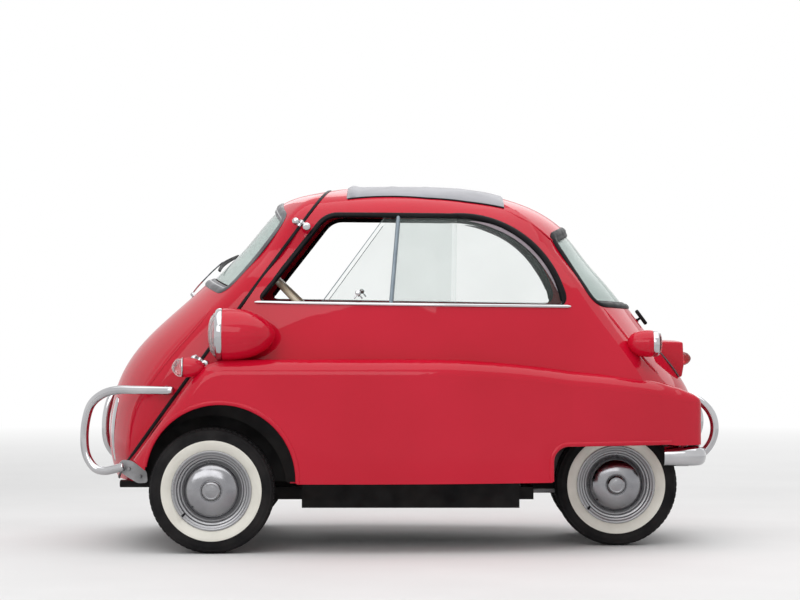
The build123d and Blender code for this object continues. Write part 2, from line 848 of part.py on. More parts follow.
# Steering knuckles: kingpin, barrel, stub axle and back plate
with BuildPart() as knuckle:
    with BuildSketch(Plane.XY.offset(yoke_low_z)):
        with Locations((front_axle_x, -kingpin_y)):
            Circle(kingpin_radius)
    extrude(amount=yoke_top_z + yoke_plate - yoke_low_z)
    with BuildSketch(Plane.XY.offset(tyre_radius - kingpin_half_length)):
        with Locations((front_axle_x, -kingpin_y)):
            Circle(yoke_radius)
    extrude(amount=2 * kingpin_half_length)
    with BuildSketch(Plane.XZ.offset(kingpin_y)):
        with Locations((front_axle_x, tyre_radius)):
            Circle(stub_radius)
    extrude(amount=front_track / 2 + stub_reach - kingpin_y)
    with BuildSketch(Plane.XZ.offset(kingpin_y + yoke_radius + steer_gap)):
        with Locations((front_axle_x, tyre_radius)):
            Circle(drum_radius)
    extrude(amount=plate_thickness)
finish(knuckle.part, "knuckle_left")
finish(knuckle.part.mirror(Plane.XZ), "knuckle_right")

# One wheel about its own axle line: tyre, rim with drum, and hubcap, outer side towards -Y
tyre_bead_y = rim_width / 2 - rim_metal
barrel_radius = rim_flange_radius - rim_lip
with BuildPart() as tyre:
    with BuildSketch(Plane.YZ):
        with BuildLine():
            low = barrel_radius + bead_gap
            half = tyre_width / 2
            Polyline((-tyre_bead_half, low), (tyre_bead_half, low), (half, tyre_wide_radius),
                     (tread_half, tyre_radius), (-tread_half, tyre_radius), (-half, tyre_wide_radius),
                     close=True)
        make_face()
    revolve(axis=Axis.Y)
with BuildPart() as rim:
    with BuildSketch(Plane.YZ):
        with BuildLine():
            edge = rim_width / 2
            Polyline((-edge, rim_flange_radius), (-tyre_bead_y, rim_flange_radius),
                     (-tyre_bead_y, barrel_radius), (tyre_bead_y, barrel_radius),
                     (tyre_bead_y, rim_flange_radius), (edge, rim_flange_radius),
                     (edge, barrel_radius - rim_metal), (-disc_y + rim_metal, barrel_radius - rim_metal),
                     (-disc_y + rim_metal, drum_radius), (drum_y + drum_width, drum_radius),
                     (drum_y + drum_width, hub_radius), (drum_y + drum_width - hub_recess, hub_radius),
                     (drum_y + drum_width - hub_recess, stub_radius + pin_clearance),
                     (-disc_y, stub_radius + pin_clearance), (-disc_y, hub_ring_radius),
                     (-disc_y - disc_dish, hub_ring_radius + dish_draft), (-disc_y - disc_dish, dish_radius),
                     (-disc_y, dish_radius + dish_step), (-disc_y, barrel_radius - rim_metal),
                     (-edge, barrel_radius - rim_metal), close=True)
        make_face()
    revolve(axis=Axis.Y)
with BuildPart() as hubcap:
    with BuildSketch(Plane.YZ):
        with BuildLine():
            seat = -disc_y - disc_dish - skin_clearance
            crown = seat - hubcap_height
            Polyline((crown - boss_height, 0), (seat, 0), (seat, hubcap_radius))
            ThreePointArc((seat, hubcap_radius),
                          (seat - hubcap_height * hubcap_shoulder, hubcap_radius * hubcap_shoulder),
                          (crown, boss_radius))
            ThreePointArc((crown, boss_radius), cap_middle(crown, -boss_height, boss_radius),
                          (crown - boss_height, 0))
        make_face()
    revolve(axis=Axis.Y)

front_left = Location((front_axle_x, -front_track / 2, tyre_radius))
rear_left = Location((rear_axle_x, -rear_track / 2, tyre_radius))
for piece, word in ((tyre, "tyre"), (rim, "rim"), (hubcap, "hubcap")):
    finish(front_left * piece.part, word + "_front_left")
    finish((front_left * piece.part).mirror(Plane.XZ), word + "_front_right")
    finish(both_sides(rear_left * piece.part), word + "s_rear")

# Rear axle: shaft that turns with both wheels, in a fixed housing with its chain case
with BuildPart() as rear_shaft:
    with BuildSketch(Plane.XZ.offset(-rear_track / 2 + 2)):
        with Locations((rear_axle_x, tyre_radius)):
            Circle(stub_radius)
    extrude(amount=rear_track - 4)
finish(rear_shaft.part, "rear_shaft")
with BuildPart() as rear_housing:
    with BuildSketch(Plane.XZ.offset(-housing_half)):
        with Locations((rear_axle_x, tyre_radius)):
            Circle(housing_radius)
    extrude(amount=2 * housing_half)
    with BuildSketch(Plane.XZ.offset(chain_case_y)):
        with Locations((rear_axle_x - chain_case_reach / 2, tyre_radius + chain_case_rise / 2)):
            SlotCenterToCenter(math.hypot(chain_case_reach, chain_case_rise), 2 * chain_case_radius,
                               rotation=-math.degrees(math.atan2(chain_case_rise, chain_case_reach)))
    extrude(amount=chain_case_width)
    with BuildSketch(Plane.XZ.offset(-housing_half - 1)):
        with Locations((rear_axle_x, tyre_radius)):
            Circle(stub_radius + pin_clearance)
    extrude(amount=2 * housing_half + 2, mode=Mode.SUBTRACT)
with BuildPart() as rear_axle:
    add(rear_housing.part)
    for side in (-1, 1):
        with BuildSketch(Plane.XZ.offset(side * spring_y - spring_width / 2)):
            with Locations(((frame_rear_x + rear_axle_x) / 2, tyre_radius - housing_radius)):
                Rectangle(rear_axle_x - frame_rear_x, spring_thickness)
        extrude(amount=spring_width)
finish(rear_axle.part, "rear_axle")


# Exhaust: a pipe from the engine over the axle, a silencer across the tail and its tail pipe
with BuildPart() as exhaust:
    with BuildSketch(Plane.YZ.offset(engine_x + engine_length / 2)):
        with Locations((exhaust_y, exhaust_z)):
            Circle(exhaust_pipe_radius)
    extrude(amount=silencer_x - engine_x - engine_length / 2)
    with BuildSketch(Plane.XZ.offset(-silencer_half)):
        with Locations((silencer_x, exhaust_z)):
            Circle(silencer_radius)
    extrude(amount=2 * silencer_half)
    with BuildSketch(Plane.YZ.offset(silencer_x)):
        with Locations((tail_pipe_y, tail_pipe_z)):
            Circle(tail_pipe_radius)
    extrude(amount=tail_pipe_end_x - silencer_x)
finish(exhaust.part, "exhaust")

# Engine, seat and steering
with BuildPart() as engine_block:
    with BuildSketch(Plane.XY.offset(sill_z + frame_tube / 2)):
        with Locations((engine_x, engine_y)):
            RectangleRounded(engine_length, engine_width, engine_corner)
    extrude(amount=engine_height)
finish(engine_block.part, "engine_block")
with BuildPart() as seat_base:
    with BuildSketch(Plane.XY.offset(floor_z + floor_thickness + skin_clearance)):
        with Locations((seat_front_x + seat_depth / 2, 0)):
            Rectangle(seat_depth - seat_base_margin, 2 * seat_half_width - seat_base_margin)
    extrude(amount=seat_base_z - floor_z - floor_thickness - 2 * skin_clearance)
finish(seat_base.part, "seat_base")
with BuildPart() as seat_cushion:
    with BuildSketch(Plane.XY.offset(seat_base_z)):
        with Locations((seat_front_x + seat_depth / 2, 0)):
            RectangleRounded(seat_depth, 2 * seat_half_width, seat_corner)
    extrude(amount=seat_thickness)
    fillet(edges().group_by(Axis.Z)[-1], radius=seat_edge)
finish(seat_cushion.part, "seat_cushion")
with BuildPart() as seat_back:
    with BuildSketch(Plane.YZ.offset(seat_front_x + seat_depth - seat_back_thickness + seat_back_shift)):
        with Locations((0, seat_base_z + seat_thickness + soft_gap + seat_back_height / 2)):
            RectangleRounded(2 * seat_half_width - seat_back_margin, seat_back_height, seat_corner)
    extrude(amount=seat_back_thickness)
    fillet(edges().group_by(Axis.X)[0], radius=seat_edge)
finish(seat_back.part, "seat_back")

column_plane = Plane(origin=(steering_hub[0], steering_y, steering_hub[1]), x_dir=(0, 1, 0),
                     z_dir=(math.cos(math.radians(steering_tilt)), 0, math.sin(math.radians(steering_tilt))))
with BuildPart() as steering_wheel:
    with BuildSketch(column_plane):
        Circle(hub_boss_radius)
    extrude(amount=hub_boss_length)
    for turn in (0, 180):
        with BuildSketch(column_plane.offset(hub_boss_length / 2)):
            with Locations(Location((0, 0), turn)):
                with Locations((steering_wheel_radius / 2, 0)):
                    Rectangle(steering_wheel_radius - steering_rim_radius, spoke_width)
        extrude(amount=spoke_thickness)
    with BuildSketch(Plane(origin=column_plane.origin + column_plane.z_dir * (hub_boss_length / 2
                                                                             + spoke_thickness / 2),
                           x_dir=column_plane.x_dir, z_dir=column_plane.y_dir)):
        with Locations((steering_wheel_radius, 0)):
            Circle(steering_rim_radius)
    revolve(axis=Axis(column_plane.origin, column_plane.z_dir))
finish(steering_wheel.part, "steering_wheel")
with BuildPart() as steering_column:
    with BuildSketch(column_plane.offset(-soft_gap)):
        Circle(column_radius)
    extrude(amount=-column_length)
    strut_foot_z = steering_hub[1] - (steering_hub[0] - strut_x) * math.tan(math.radians(steering_tilt))
    with BuildSketch(Plane.XY.offset(strut_foot_z)):
        with Locations((strut_x, steering_y)):
            Circle(strut_radius)
    extrude(amount=dash_low_z - strut_foot_z)
finish(steering_column.part, "steering_column")
with BuildPart() as dash_panel:
    with BuildSketch(Plane.XY.offset(dash_z)):
        with Locations((dash_rear_x - dash_reach / 2, 0)):
            Rectangle(dash_reach, run_through)
    extrude(amount=dash_thickness)
    with BuildSketch(Plane.XY.offset(dash_z)):
        with Locations((pod_rear_x - pod_depth / 2, steering_y)):
            RectangleRounded(pod_depth, pod_width, pod_corner)
    extrude(amount=dash_thickness)
    with BuildSketch(Plane.XY.offset(dash_low_z)):
        with Locations((pod_rear_x - pod_depth / 2, steering_y)):
            RectangleRounded(pod_depth, pod_width, pod_corner)
    extrude(amount=dash_z - dash_low_z)
    add(cabin_space, mode=Mode.INTERSECT)
finish(dash_panel.part, "dash_panel")

# Lamps: pods and lenses turned about lines along the car
def lamp_shell(x, y, z, profile):
    """A turned lamp piece: profile points are (distance from the ring towards the tail, radius)."""
    with BuildPart() as turned:
        with BuildSketch(Plane(origin=(x, y, z), x_dir=(1, 0, 0), z_dir=(0, -1, 0))):
            with BuildLine():
                for start, middle, end in profile:
                    ThreePointArc(start, middle, end) if middle else Line(start, end)
            make_face()
        revolve(axis=Axis((x, y, z), (1, 0, 0)))
    return turned.part


def bullet(length, radius):
    """A rounded bullet: flat face at 0, tapering to a round tail."""
    tail_radius = radius * bullet_tail
    tail_x = length - tail_radius * bullet_crown
    middle = (tail_x * bullet_middle[0], radius * bullet_middle[1])
    return [((0, 0), None, (0, radius)), ((0, radius), middle, (tail_x, tail_radius)),
            ((tail_x, tail_radius), cap_middle(tail_x, length - tail_x, tail_radius), (length, 0)),
            ((length, 0), None, (0, 0))]


def dome(depth, radius):
    """A domed lens ahead of its flat back."""
    back = -ring_depth - skin_clearance
    return [((back, 0), None, (back, radius)), ((back, radius), cap_middle(back, -depth, radius),
                                                (back - depth, 0)), ((back - depth, 0), None, (back, 0))]


def ring(radius):
    """A flat ring under a lens."""
    return [((-skin_clearance, 0), None, (-skin_clearance, radius)),
            ((-skin_clearance, radius), None, (-ring_depth, radius)),
            ((-ring_depth, radius), None, (-ring_depth, 0)), ((-ring_depth, 0), None, (-skin_clearance, 0))]


pods, rings = [], []
for word, x, y, z, radius, length, depth in (
        ("headlamp", headlamp_ring_x, headlamp_y, headlamp_z, headlamp_radius, headlamp_pod_length,
         headlamp_dome),
        ("indicator", indicator_x, indicator_y, indicator_z, indicator_radius, indicator_pod_length,
         indicator_dome)):
    with BuildPart() as pod:
        add(lamp_shell(x, -y, z, bullet(length, radius)))
        add([skin_clear, fender_clear], mode=Mode.SUBTRACT)
    pods.append(pod.part)
    rings.append(lamp_shell(x, -y, z, ring(radius)))
    finish(both_sides(lamp_shell(x, -y, z, dome(depth, radius - lens_margin))), word + "_lenses")

tail_flip = Plane.YZ.offset(tail_lamp_x)
with BuildPart() as tail_pod:
    add(lamp_shell(tail_lamp_x, -tail_lamp_y, tail_lamp_z, [
        ((0, 0), None, (0, tail_lamp_radius)),
        ((0, tail_lamp_radius), None, (-tail_pod_step, tail_lamp_radius)),
        ((-tail_pod_step, tail_lamp_radius), None, (-tail_pod_length, tail_pod_root)),
        ((-tail_pod_length, tail_pod_root), None, (-tail_pod_length, 0)),
        ((-tail_pod_length, 0), None, (0, 0))]))
    add(skin_clear, mode=Mode.SUBTRACT)
pods.append(tail_pod.part)
rings.append(lamp_shell(tail_lamp_x, -tail_lamp_y, tail_lamp_z, ring(tail_lamp_radius)).mirror(tail_flip))
finish(both_sides(lamp_shell(tail_lamp_x, -tail_lamp_y, tail_lamp_z,
                             dome(tail_dome, tail_lamp_radius - lens_margin)).mirror(tail_flip)),
       "tail_lamp_lenses")
finish(Compound(children=[both_sides(pod) for pod in pods]), "lamp_pods")
finish(Compound(children=[both_sides(piece) for piece in rings]), "lamp_rings")

# Number plate box on the tail, its lamp hood and the handle above it
with BuildPart() as plate_box:
    with BuildSketch(Plane.XZ):
        with BuildLine():
            Polyline(*PLATE_BOX_SIDE, close=True)
        make_face()
    extrude(amount=plate_box_half, both=True)
    add(skin_clear, mode=Mode.SUBTRACT)
finish(plate_box.part, "plate_box")
with BuildPart() as tail_handle:
    with BuildSketch(Plane.XZ):
        with Locations((tail_handle_x, tail_handle_z)):
            RectangleRounded(*tail_handle_size, tail_handle_corner)
    extrude(amount=tail_handle_half, both=True)
    add(skin_clear, mode=Mode.SUBTRACT)
finish(tail_handle.part, "tail_handle")

# Chrome guards on the door: a tube hoop at each corner
guard_run = math.hypot(guard_nose[0] - guard_start[0], guard_nose[1] - guard_start[1])
guard_side = Plane(origin=(guard_start[0], guard_start[1], 0),
                   x_dir=(guard_nose[0] - guard_start[0], guard_nose[1] - guard_start[1], 0),
                   z_dir=(guard_nose[1] - guard_start[1], guard_start[0] - guard_nose[0], 0))
with BuildPart() as guard:
    with BuildLine(guard_side) as guard_path:
        rise = -1 if guard_side.y_dir.Z < 0 else 1
        bend_x = guard_run - guard_top_bend
        low_x = guard_run - guard_low_bend
        Line((0, rise * guard_top_z), (bend_x, rise * guard_top_z))
        RadiusArc((bend_x, rise * guard_top_z), (guard_run, rise * (guard_top_z - guard_top_bend)),
                  rise * guard_top_bend)
        Line((guard_run, rise * (guard_top_z - guard_top_bend)),
             (guard_run, rise * (guard_low_z + guard_low_bend)))
        RadiusArc((guard_run, rise * (guard_low_z + guard_low_bend)), (low_x, rise * guard_low_z),
                  rise * guard_low_bend)
        Line((low_x, rise * guard_low_z), (low_x - guard_tail_length, rise * guard_low_z))
    with BuildSketch(Plane(origin=guard_path.line @ 0, z_dir=guard_path.line % 0)):
        Circle(guard_radius)
    sweep(path=guard_path.line)
    for foot_x, foot_z in ((guard_foot_high_x, guard_top_z), (guard_foot_low_x, guard_low_z)):
        foot_share = (foot_x - guard_start[0]) / (guard_nose[0] - guard_start[0])
        foot_y = guard_start[1] + foot_share * (guard_nose[1] - guard_start[1])
        with BuildSketch(Plane.XZ.offset(-foot_y)):
            with Locations((foot_x, foot_z)):
                Circle(guard_foot_radius)
        extrude(amount=foot_y + fender_root_y)
    split(bisect_by=gap_plane(-door_gap), keep=Keep.BOTTOM)
    add(skin_clear, mode=Mode.SUBTRACT)
with BuildPart() as front_strips:
    with BuildSketch(Plane.YZ.offset(-run_through)):
        with Locations((-strip_y, (strip_low_z + strip_high_z) / 2)):
            RectangleRounded(strip_width, strip_high_z - strip_low_z, strip_corner)
    extrude(amount=run_through)
    add(cover_layer.part, mode=Mode.INTERSECT)
finish(Compound(children=[both_sides(guard.part), both_sides(front_strips.part)]), "front_guards")

# Rear guards: a bowed tube each side and a blade below the tail
with BuildPart() as rear_guard:
    with BuildLine(Plane.XZ.offset(rear_guard_y)) as rear_path:
        ThreePointArc(rear_guard_top, (rear_guard_x, rear_guard_bow_z), rear_guard_low)
    with BuildSketch(Plane(origin=rear_path.line @ 0, z_dir=rear_path.line % 0)):
        Circle(guard_radius)
    sweep(path=rear_path.line)
    add(skin_clear, mode=Mode.SUBTRACT)
with BuildPart() as rear_blade:
    with BuildSketch(Plane.XY.offset(blade_low_z)):
        with BuildLine() as blade_line:
            Polyline((blade_wrap_x, -blade_half), (blade_x, -blade_half), (blade_x, blade_half),
                     (blade_wrap_x, blade_half))
            fillet(blade_line.vertices().group_by(Axis.X)[-1], radius=blade_bend)
            offset(amount=blade_thickness, side=Side.LEFT)
        make_face()
    extrude(amount=blade_height)
    add([rear_guard.part, rear_guard.part.mirror(Plane.XZ)])
finish(rear_blade.part, "rear_bumper")

# Door hinges, high and low on the left of the gap: a pin with the door's knuckle above the body's
hinge_axis = Axis((gap_x(hinge_low_z), hinge_low_y, hinge_low_z),
                  (gap_x(hinge_high_z) - gap_x(hinge_low_z), hinge_high_y - hinge_low_y,
                   hinge_high_z - hinge_low_z))


def hinge_half(height, side):
    """One knuckle of a hinge and its arm to the panel: side 1 is the body's, -1 the door's with the pin."""
    share = (height - hinge_low_z) / (hinge_high_z - hinge_low_z)
    centre = Vector(gap_x(height), hinge_low_y + share * (hinge_high_y - hinge_low_y), height)
    level = Plane(origin=centre, x_dir=gap_plane(0).z_dir, z_dir=hinge_axis.direction)
    start = level.offset(pin_gap if side > 0 else -pin_gap - hinge_knuckle_length)
    with BuildPart() as half:
        with BuildSketch(start):
            Circle(hinge_knuckle_radius)
            with Locations((side * hinge_arm / 2, 0)):
                Rectangle(hinge_arm, 2 * hinge_knuckle_radius)
            with Locations((side * (hinge_arm + hinge_knuckle_radius) / 2, hinge_reach / 2)):
                Rectangle(hinge_arm - hinge_knuckle_radius, hinge_reach)
            if side > 0:
                Circle(hinge_pin_radius + pin_clearance, mode=Mode.SUBTRACT)
        extrude(amount=hinge_knuckle_length)
        if side < 0:
            with BuildSketch(start):
                Circle(hinge_pin_radius)
            extrude(amount=2 * hinge_knuckle_length + 2 * pin_gap)
        add([skin_clear, fender_clear], mode=Mode.SUBTRACT)
    return half.part


for side, word in ((1, "body"), (-1, "door")):
    halves = [hinge_half(hinge_low_z, side), hinge_half(hinge_high_z, side)]
    if side > 0:
        halves.append(lid_hinge.part)
    finish(Compound(children=halves), "hinges_" + word)
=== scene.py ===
# %% [markdown]
# # A bubble car, dressed on its CAD frame
# The construction comes in as a frame of named pieces on moving bodies, in metres, nose to -X and left
# side to -Y. Each cell below makes one finish or one piece and hangs it on the body that carries it.
# Loading the frame first means nothing has to be fitted afterwards.

# %% Load the frame
import math

import bmesh
import bpy
import numpy as np
from mathutils import Matrix, Vector
from mathutils.bvhtree import BVHTree


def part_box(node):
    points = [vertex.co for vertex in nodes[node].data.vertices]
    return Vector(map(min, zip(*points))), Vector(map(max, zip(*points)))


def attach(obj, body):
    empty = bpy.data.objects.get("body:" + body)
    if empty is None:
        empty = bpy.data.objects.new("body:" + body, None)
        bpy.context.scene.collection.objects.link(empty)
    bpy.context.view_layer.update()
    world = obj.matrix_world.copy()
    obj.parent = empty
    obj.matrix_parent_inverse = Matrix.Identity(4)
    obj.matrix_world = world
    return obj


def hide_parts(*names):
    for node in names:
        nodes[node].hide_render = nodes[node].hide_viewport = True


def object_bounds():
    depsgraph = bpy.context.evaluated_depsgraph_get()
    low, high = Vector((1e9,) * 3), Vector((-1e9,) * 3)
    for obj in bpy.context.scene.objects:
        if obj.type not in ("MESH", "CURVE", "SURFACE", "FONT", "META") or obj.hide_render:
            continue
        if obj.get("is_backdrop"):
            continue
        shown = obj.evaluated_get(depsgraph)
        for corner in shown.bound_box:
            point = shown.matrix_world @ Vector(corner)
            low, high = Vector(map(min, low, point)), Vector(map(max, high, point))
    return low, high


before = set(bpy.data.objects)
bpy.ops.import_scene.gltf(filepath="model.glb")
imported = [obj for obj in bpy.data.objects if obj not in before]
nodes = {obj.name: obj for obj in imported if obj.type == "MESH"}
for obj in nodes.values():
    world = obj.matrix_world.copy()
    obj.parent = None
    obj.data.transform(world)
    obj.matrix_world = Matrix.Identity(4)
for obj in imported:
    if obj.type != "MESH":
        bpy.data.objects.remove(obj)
cad_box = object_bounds()
print("nodes", len(nodes), "box", [tuple(round(c, 3) for c in corner) for corner in cad_box])

# %% [markdown]
# The camera stands a long way off the left side with a long lens, so that the wheels on the near and far
# sides nearly cover each other. A 135 mm lens on a 36 mm sensor gives that flat view.

# %% Camera
CAMERA_DISTANCE = 11.58
CAMERA_HEIGHT = 1.01
CAMERA_TILT = math.radians(-0.44)
CAMERA_LENS, CAMERA_SENSOR = 135, 36

camera_data = bpy.data.cameras.new("side_camera")
camera_data.lens = CAMERA_LENS
camera_data.sensor_width = CAMERA_SENSOR
camera_data.clip_end = 200
camera = bpy.data.objects.new("side_camera", camera_data)
camera.location = (0, -CAMERA_DISTANCE, CAMERA_HEIGHT)
camera.rotation_euler = (math.pi / 2 + CAMERA_TILT, 0, 0)
bpy.context.scene.collection.objects.link(camera)
bpy.context.scene.camera = camera
bpy.context.scene.view_settings.view_transform = "Standard"
print("camera", tuple(camera.location), "lens", camera_data.lens)

# %% [markdown]
# Materials are small node trees. A few helpers cover most of them: they add a node with its values, link
# sockets, start a Principled shader, read a noise on the object's own coordinates, and turn a height into
# a bump. Noise on Object coordinates stays put on the piece from every view, and needs no UV map.

# %% Material helpers
def add_node(tree, kind, **inputs):
    """A new node of a kind, with plain values on the inputs that are named."""
    made = tree.nodes.new(kind)
    for socket, value in inputs.items():
        made.inputs[socket.replace("_", " ")].default_value = value
    return made


def wire(tree, *pairs):
    """Links each pair of sockets, from an output to an input."""
    for source, target in pairs:
        tree.links.new(source, target)


def new_material(name, colour, roughness, **sockets):
    """A Principled material with plain values on its sockets: the tree and shader ride along with it."""
    made = bpy.data.materials.new(name)
    made.use_nodes = True
    shader = made.node_tree.nodes["Principled BSDF"]
    shader.inputs["Base Color"].default_value = (*colour, 1)
    shader.inputs["Roughness"].default_value = roughness
    for socket, value in sockets.items():
        shader.inputs[socket.replace("_", " ")].default_value = value
    return made, made.node_tree, shader


def placed(tree, texture, stretch=(1, 1, 1)):
    """Puts a texture node on the object's own coordinates, stretched along the axes."""
    place = tree.nodes.new("ShaderNodeTexCoord")
    mapping = add_node(tree, "ShaderNodeMapping", Scale=stretch)
    wire(tree, (place.outputs["Object"], mapping.inputs["Vector"]),
         (mapping.outputs["Vector"], texture.inputs["Vector"]))
    return texture


def noise(tree, scale, detail, stretch=(1, 1, 1)):
    """A noise value on Object coordinates, with scale in features a metre."""
    made = add_node(tree, "ShaderNodeTexNoise", Scale=scale, Detail=detail)
    return placed(tree, made, stretch).outputs["Fac"]


def between(tree, factor, low, high, start=0.3, end=0.7):
    """The factor's range from start to end, mapped to low to high."""
    made = add_node(tree, "ShaderNodeMapRange", From_Min=start, From_Max=end, To_Min=low, To_Max=high)
    wire(tree, (factor, made.inputs["Value"]))
    return made.outputs["Result"]


def tint(tree, shader, factor, first, second):
    """Colours the shader from first to second along a factor."""
    made = tree.nodes.new("ShaderNodeMix")
    made.data_type = "RGBA"
    made.inputs["A"].default_value = (*first, 1)
    made.inputs["B"].default_value = (*second, 1)
    wire(tree, (factor, made.inputs["Factor"]), (made.outputs["Result"], shader.inputs["Base Color"]))


def bump(tree, shader, height, strength, depth):
    """Raises the surface by a height, depth metres at the most."""
    made = add_node(tree, "ShaderNodeBump", Strength=strength, Distance=depth)
    wire(tree, (height, made.inputs["Height"]), (made.outputs["Normal"], shader.inputs["Normal"]))


def join_values(tree, kind, first, second):
    """Two values joined by a Math operation."""
    made = tree.nodes.new("ShaderNodeMath")
    made.operation = kind
    wire(tree, (first, made.inputs[0]), (second, made.inputs[1]))
    return made.outputs[0]


def show_mix(tree, share, first, second, end="Material Output"):
    """Shows the first shader where the share is 0 and the second where it is 1."""
    blend = tree.nodes.new("ShaderNodeMixShader")
    wire(tree, (share, blend.inputs[0]), (first.outputs[0], blend.inputs[1]),
         (second.outputs[0], blend.inputs[2]), (blend.outputs["Shader"], tree.nodes[end].inputs["Surface"]))


# %% [markdown]
# Nearly every real finish varies in three ways: its colour drifts slowly, its gloss is uneven where hands
# and dust have been, and its surface has a fine grain. One function lays those three noises on a shader,
# and each finish is then a line of values. `finishes` keeps them by name.

# %% Worked finishes
finishes = {}


def worked(name, colour, roughness, tone=None, gloss=None, grain=None, **sockets):
    """A finish with a drift of colour, an uneven gloss and a fine grain.

    tone: scale, detail, first and second colour. gloss: scale, detail, lowest and highest roughness, and a
    stretch where there is one. grain: scale, detail, strength and depth in metres.
    """
    made, tree, shader = new_material(name, colour, roughness, **sockets)
    if tone:
        scale, detail, first, second = tone
        tint(tree, shader, between(tree, noise(tree, scale, detail), 0, 1), first, second)
    if gloss:
        scale, detail, low, high, *stretch = gloss
        shine = between(tree, noise(tree, scale, detail, *stretch), low, high)
        wire(tree, (shine, shader.inputs["Roughness"]))
    if grain:
        scale, detail, strength, depth = grain
        bump(tree, shader, noise(tree, scale, detail), strength, depth)
    finishes[name] = made
    return made, tree, shader


# %% [markdown]
# The body is gloss red cellulose. Real paint is a coloured layer under a clear one, so the coat is what
# mirrors the room, and the colour below stays a little rough. A faint orange-peel bump and a slow drift of
# colour keep the big panels from looking like plastic.

# %% Red paint
worked("paint_red", (0.55, 0.005, 0.026), 0.40, (2.2, 2, (0.520, 0.004, 0.022), (0.580, 0.006, 0.029)),
       (14, 4, 0.34, 0.46), (420, 2, 0.05, 0.0004),
       Coat_Weight=0.6, Coat_Roughness=0.03, IOR=1.45, Specular_IOR_Level=0.0)

# %% [markdown]
# Plated steel is nearly a mirror. What tells chrome from a plain mirror is fine wiping marks, so its
# roughness follows a noise that is drawn out along the car. The hubcaps are duller, the rims are silver
# paint with flakes in it, and the axle and engine are plain metal that has been outdoors.

# %% Bright and bare metals
worked("chrome", (0.50, 0.50, 0.51), 0.07, (9, 3, (0.46, 0.46, 0.475), (0.54, 0.54, 0.55)),
       (55, 5, 0.035, 0.13, (0.3, 1, 1.4)), (240, 3, 0.04, 0.0003), Metallic=1.0)
worked("hubcap_steel", (0.29, 0.29, 0.30), 0.16, (12, 4, (0.24, 0.24, 0.255), (0.34, 0.34, 0.35)),
       (40, 5, 0.10, 0.24), (300, 3, 0.05, 0.0003), Metallic=1.0)
worked("rim_silver", (0.34, 0.34, 0.35), 0.32, (1400, 1, (0.24, 0.24, 0.25), (0.42, 0.42, 0.43)),
       (30, 4, 0.24, 0.42), (1400, 1, 0.05, 0.0002), Metallic=0.75)
worked("axle_steel", (0.10, 0.095, 0.09), 0.5, (26, 5, (0.05, 0.047, 0.045), (0.16, 0.15, 0.14)),
       (60, 4, 0.35, 0.7), (190, 4, 0.25, 0.0006), Metallic=0.6)
worked("cast_grey", (0.30, 0.30, 0.31), 0.55, (12, 5, (0.20, 0.20, 0.205), (0.38, 0.38, 0.39)),
       None, (320, 3, 0.5, 0.0008), Metallic=0.7)

# %% [markdown]
# Underneath, the frame, floor and wells are brushed with black chassis paint, duller where road dust has
# settled. Rubber is softer still: the door's rubber is black, the windscreen's is greyer with a pale filler
# strip in its groove, whose pale colour paints the highlight along the seal, and the tread is a dustier
# one, next to the creamy white of the tyre's band.

# %% Black paint and rubber
worked("frame_black", (0.012, 0.012, 0.013), 0.45, (7, 6, (0.005, 0.005, 0.006), (0.018, 0.016, 0.015)),
       (18, 5, 0.32, 0.72), (150, 4, 0.3, 0.0006), Specular_IOR_Level=0.15)
worked("rubber_black", (0.022, 0.022, 0.026), 0.5, (16, 4, (0.006, 0.006, 0.007), (0.018, 0.018, 0.021)),
       (40, 3, 0.38, 0.6), (500, 2, 0.25, 0.0003), Specular_IOR_Level=0.1)
worked("seal_grey", (0.085, 0.085, 0.092), 0.42, (12, 4, (0.055, 0.055, 0.060), (0.12, 0.12, 0.13)),
       (35, 3, 0.34, 0.55))
# The pale filler is partly a strip in the seal's groove and partly a painted highlight along the seal
worked("filler_pale", (0.42, 0.42, 0.43), 0.3, (20, 3, (0.36, 0.36, 0.37), (0.48, 0.48, 0.49)),
       Metallic=0.3)
worked("tyre_black", (0.020, 0.019, 0.020), 0.7, (9, 6, (0.007, 0.007, 0.008), (0.022, 0.020, 0.020)),
       (25, 4, 0.55, 0.85), (380, 3, 0.35, 0.0005), Specular_IOR_Level=0.12)
worked("tyre_white", (0.72, 0.69, 0.62), 0.55, (11, 5, (0.70, 0.68, 0.61), (0.82, 0.80, 0.73)),
       (32, 3, 0.45, 0.62), (260, 3, 0.15, 0.0004))

# %% [markdown]
# The side windows have their own small finishes: a black lacquered frame, a blue-grey painted divider, and
# the felt that lines the run of the sliding pane.

# %% Window frame finishes
worked("window_black", (0.010, 0.009, 0.011), 0.3, (10, 4, (0.004, 0.004, 0.005), (0.012, 0.010, 0.012)),
       (30, 3, 0.24, 0.42), Specular_IOR_Level=0.1)
worked("divider_grey", (0.20, 0.25, 0.29), 0.35, (15, 3, (0.17, 0.21, 0.25), (0.24, 0.29, 0.33)),
       Metallic=0.3)
worked("lining_grey", (0.30, 0.25, 0.28), 0.9, (180, 3, (0.25, 0.20, 0.23), (0.36, 0.31, 0.34)),
       None, (900, 2, 0.5, 0.0008))

# %% [markdown]
# Window glass is thin, so what is seen through it hardly bends. A Transparent shader with a faint green
# tint lets the light through, and a clear gloss on top of it mirrors more at a slant, as Fresnel says.
# Lamp lenses are thicker pressed glass, and use real transmission.

# %% Glass
def window_glass():
    """Thin clear glass: the film of gloss grows at a slant, and a faint haze breaks it up."""
    made, tree, shader = new_material("glass_clear", (0.75, 0.85, 0.82), 0.02)
    clear = add_node(tree, "ShaderNodeBsdfTransparent", Color=(0.984, 0.990, 0.988, 1))
    edge = add_node(tree, "ShaderNodeFresnel", IOR=1.35)
    film = between(tree, noise(tree, 5, 4), 0.01, 0.035)
    show_mix(tree, join_values(tree, "ADD", edge.outputs["Fac"], film), clear, shader)
    return made


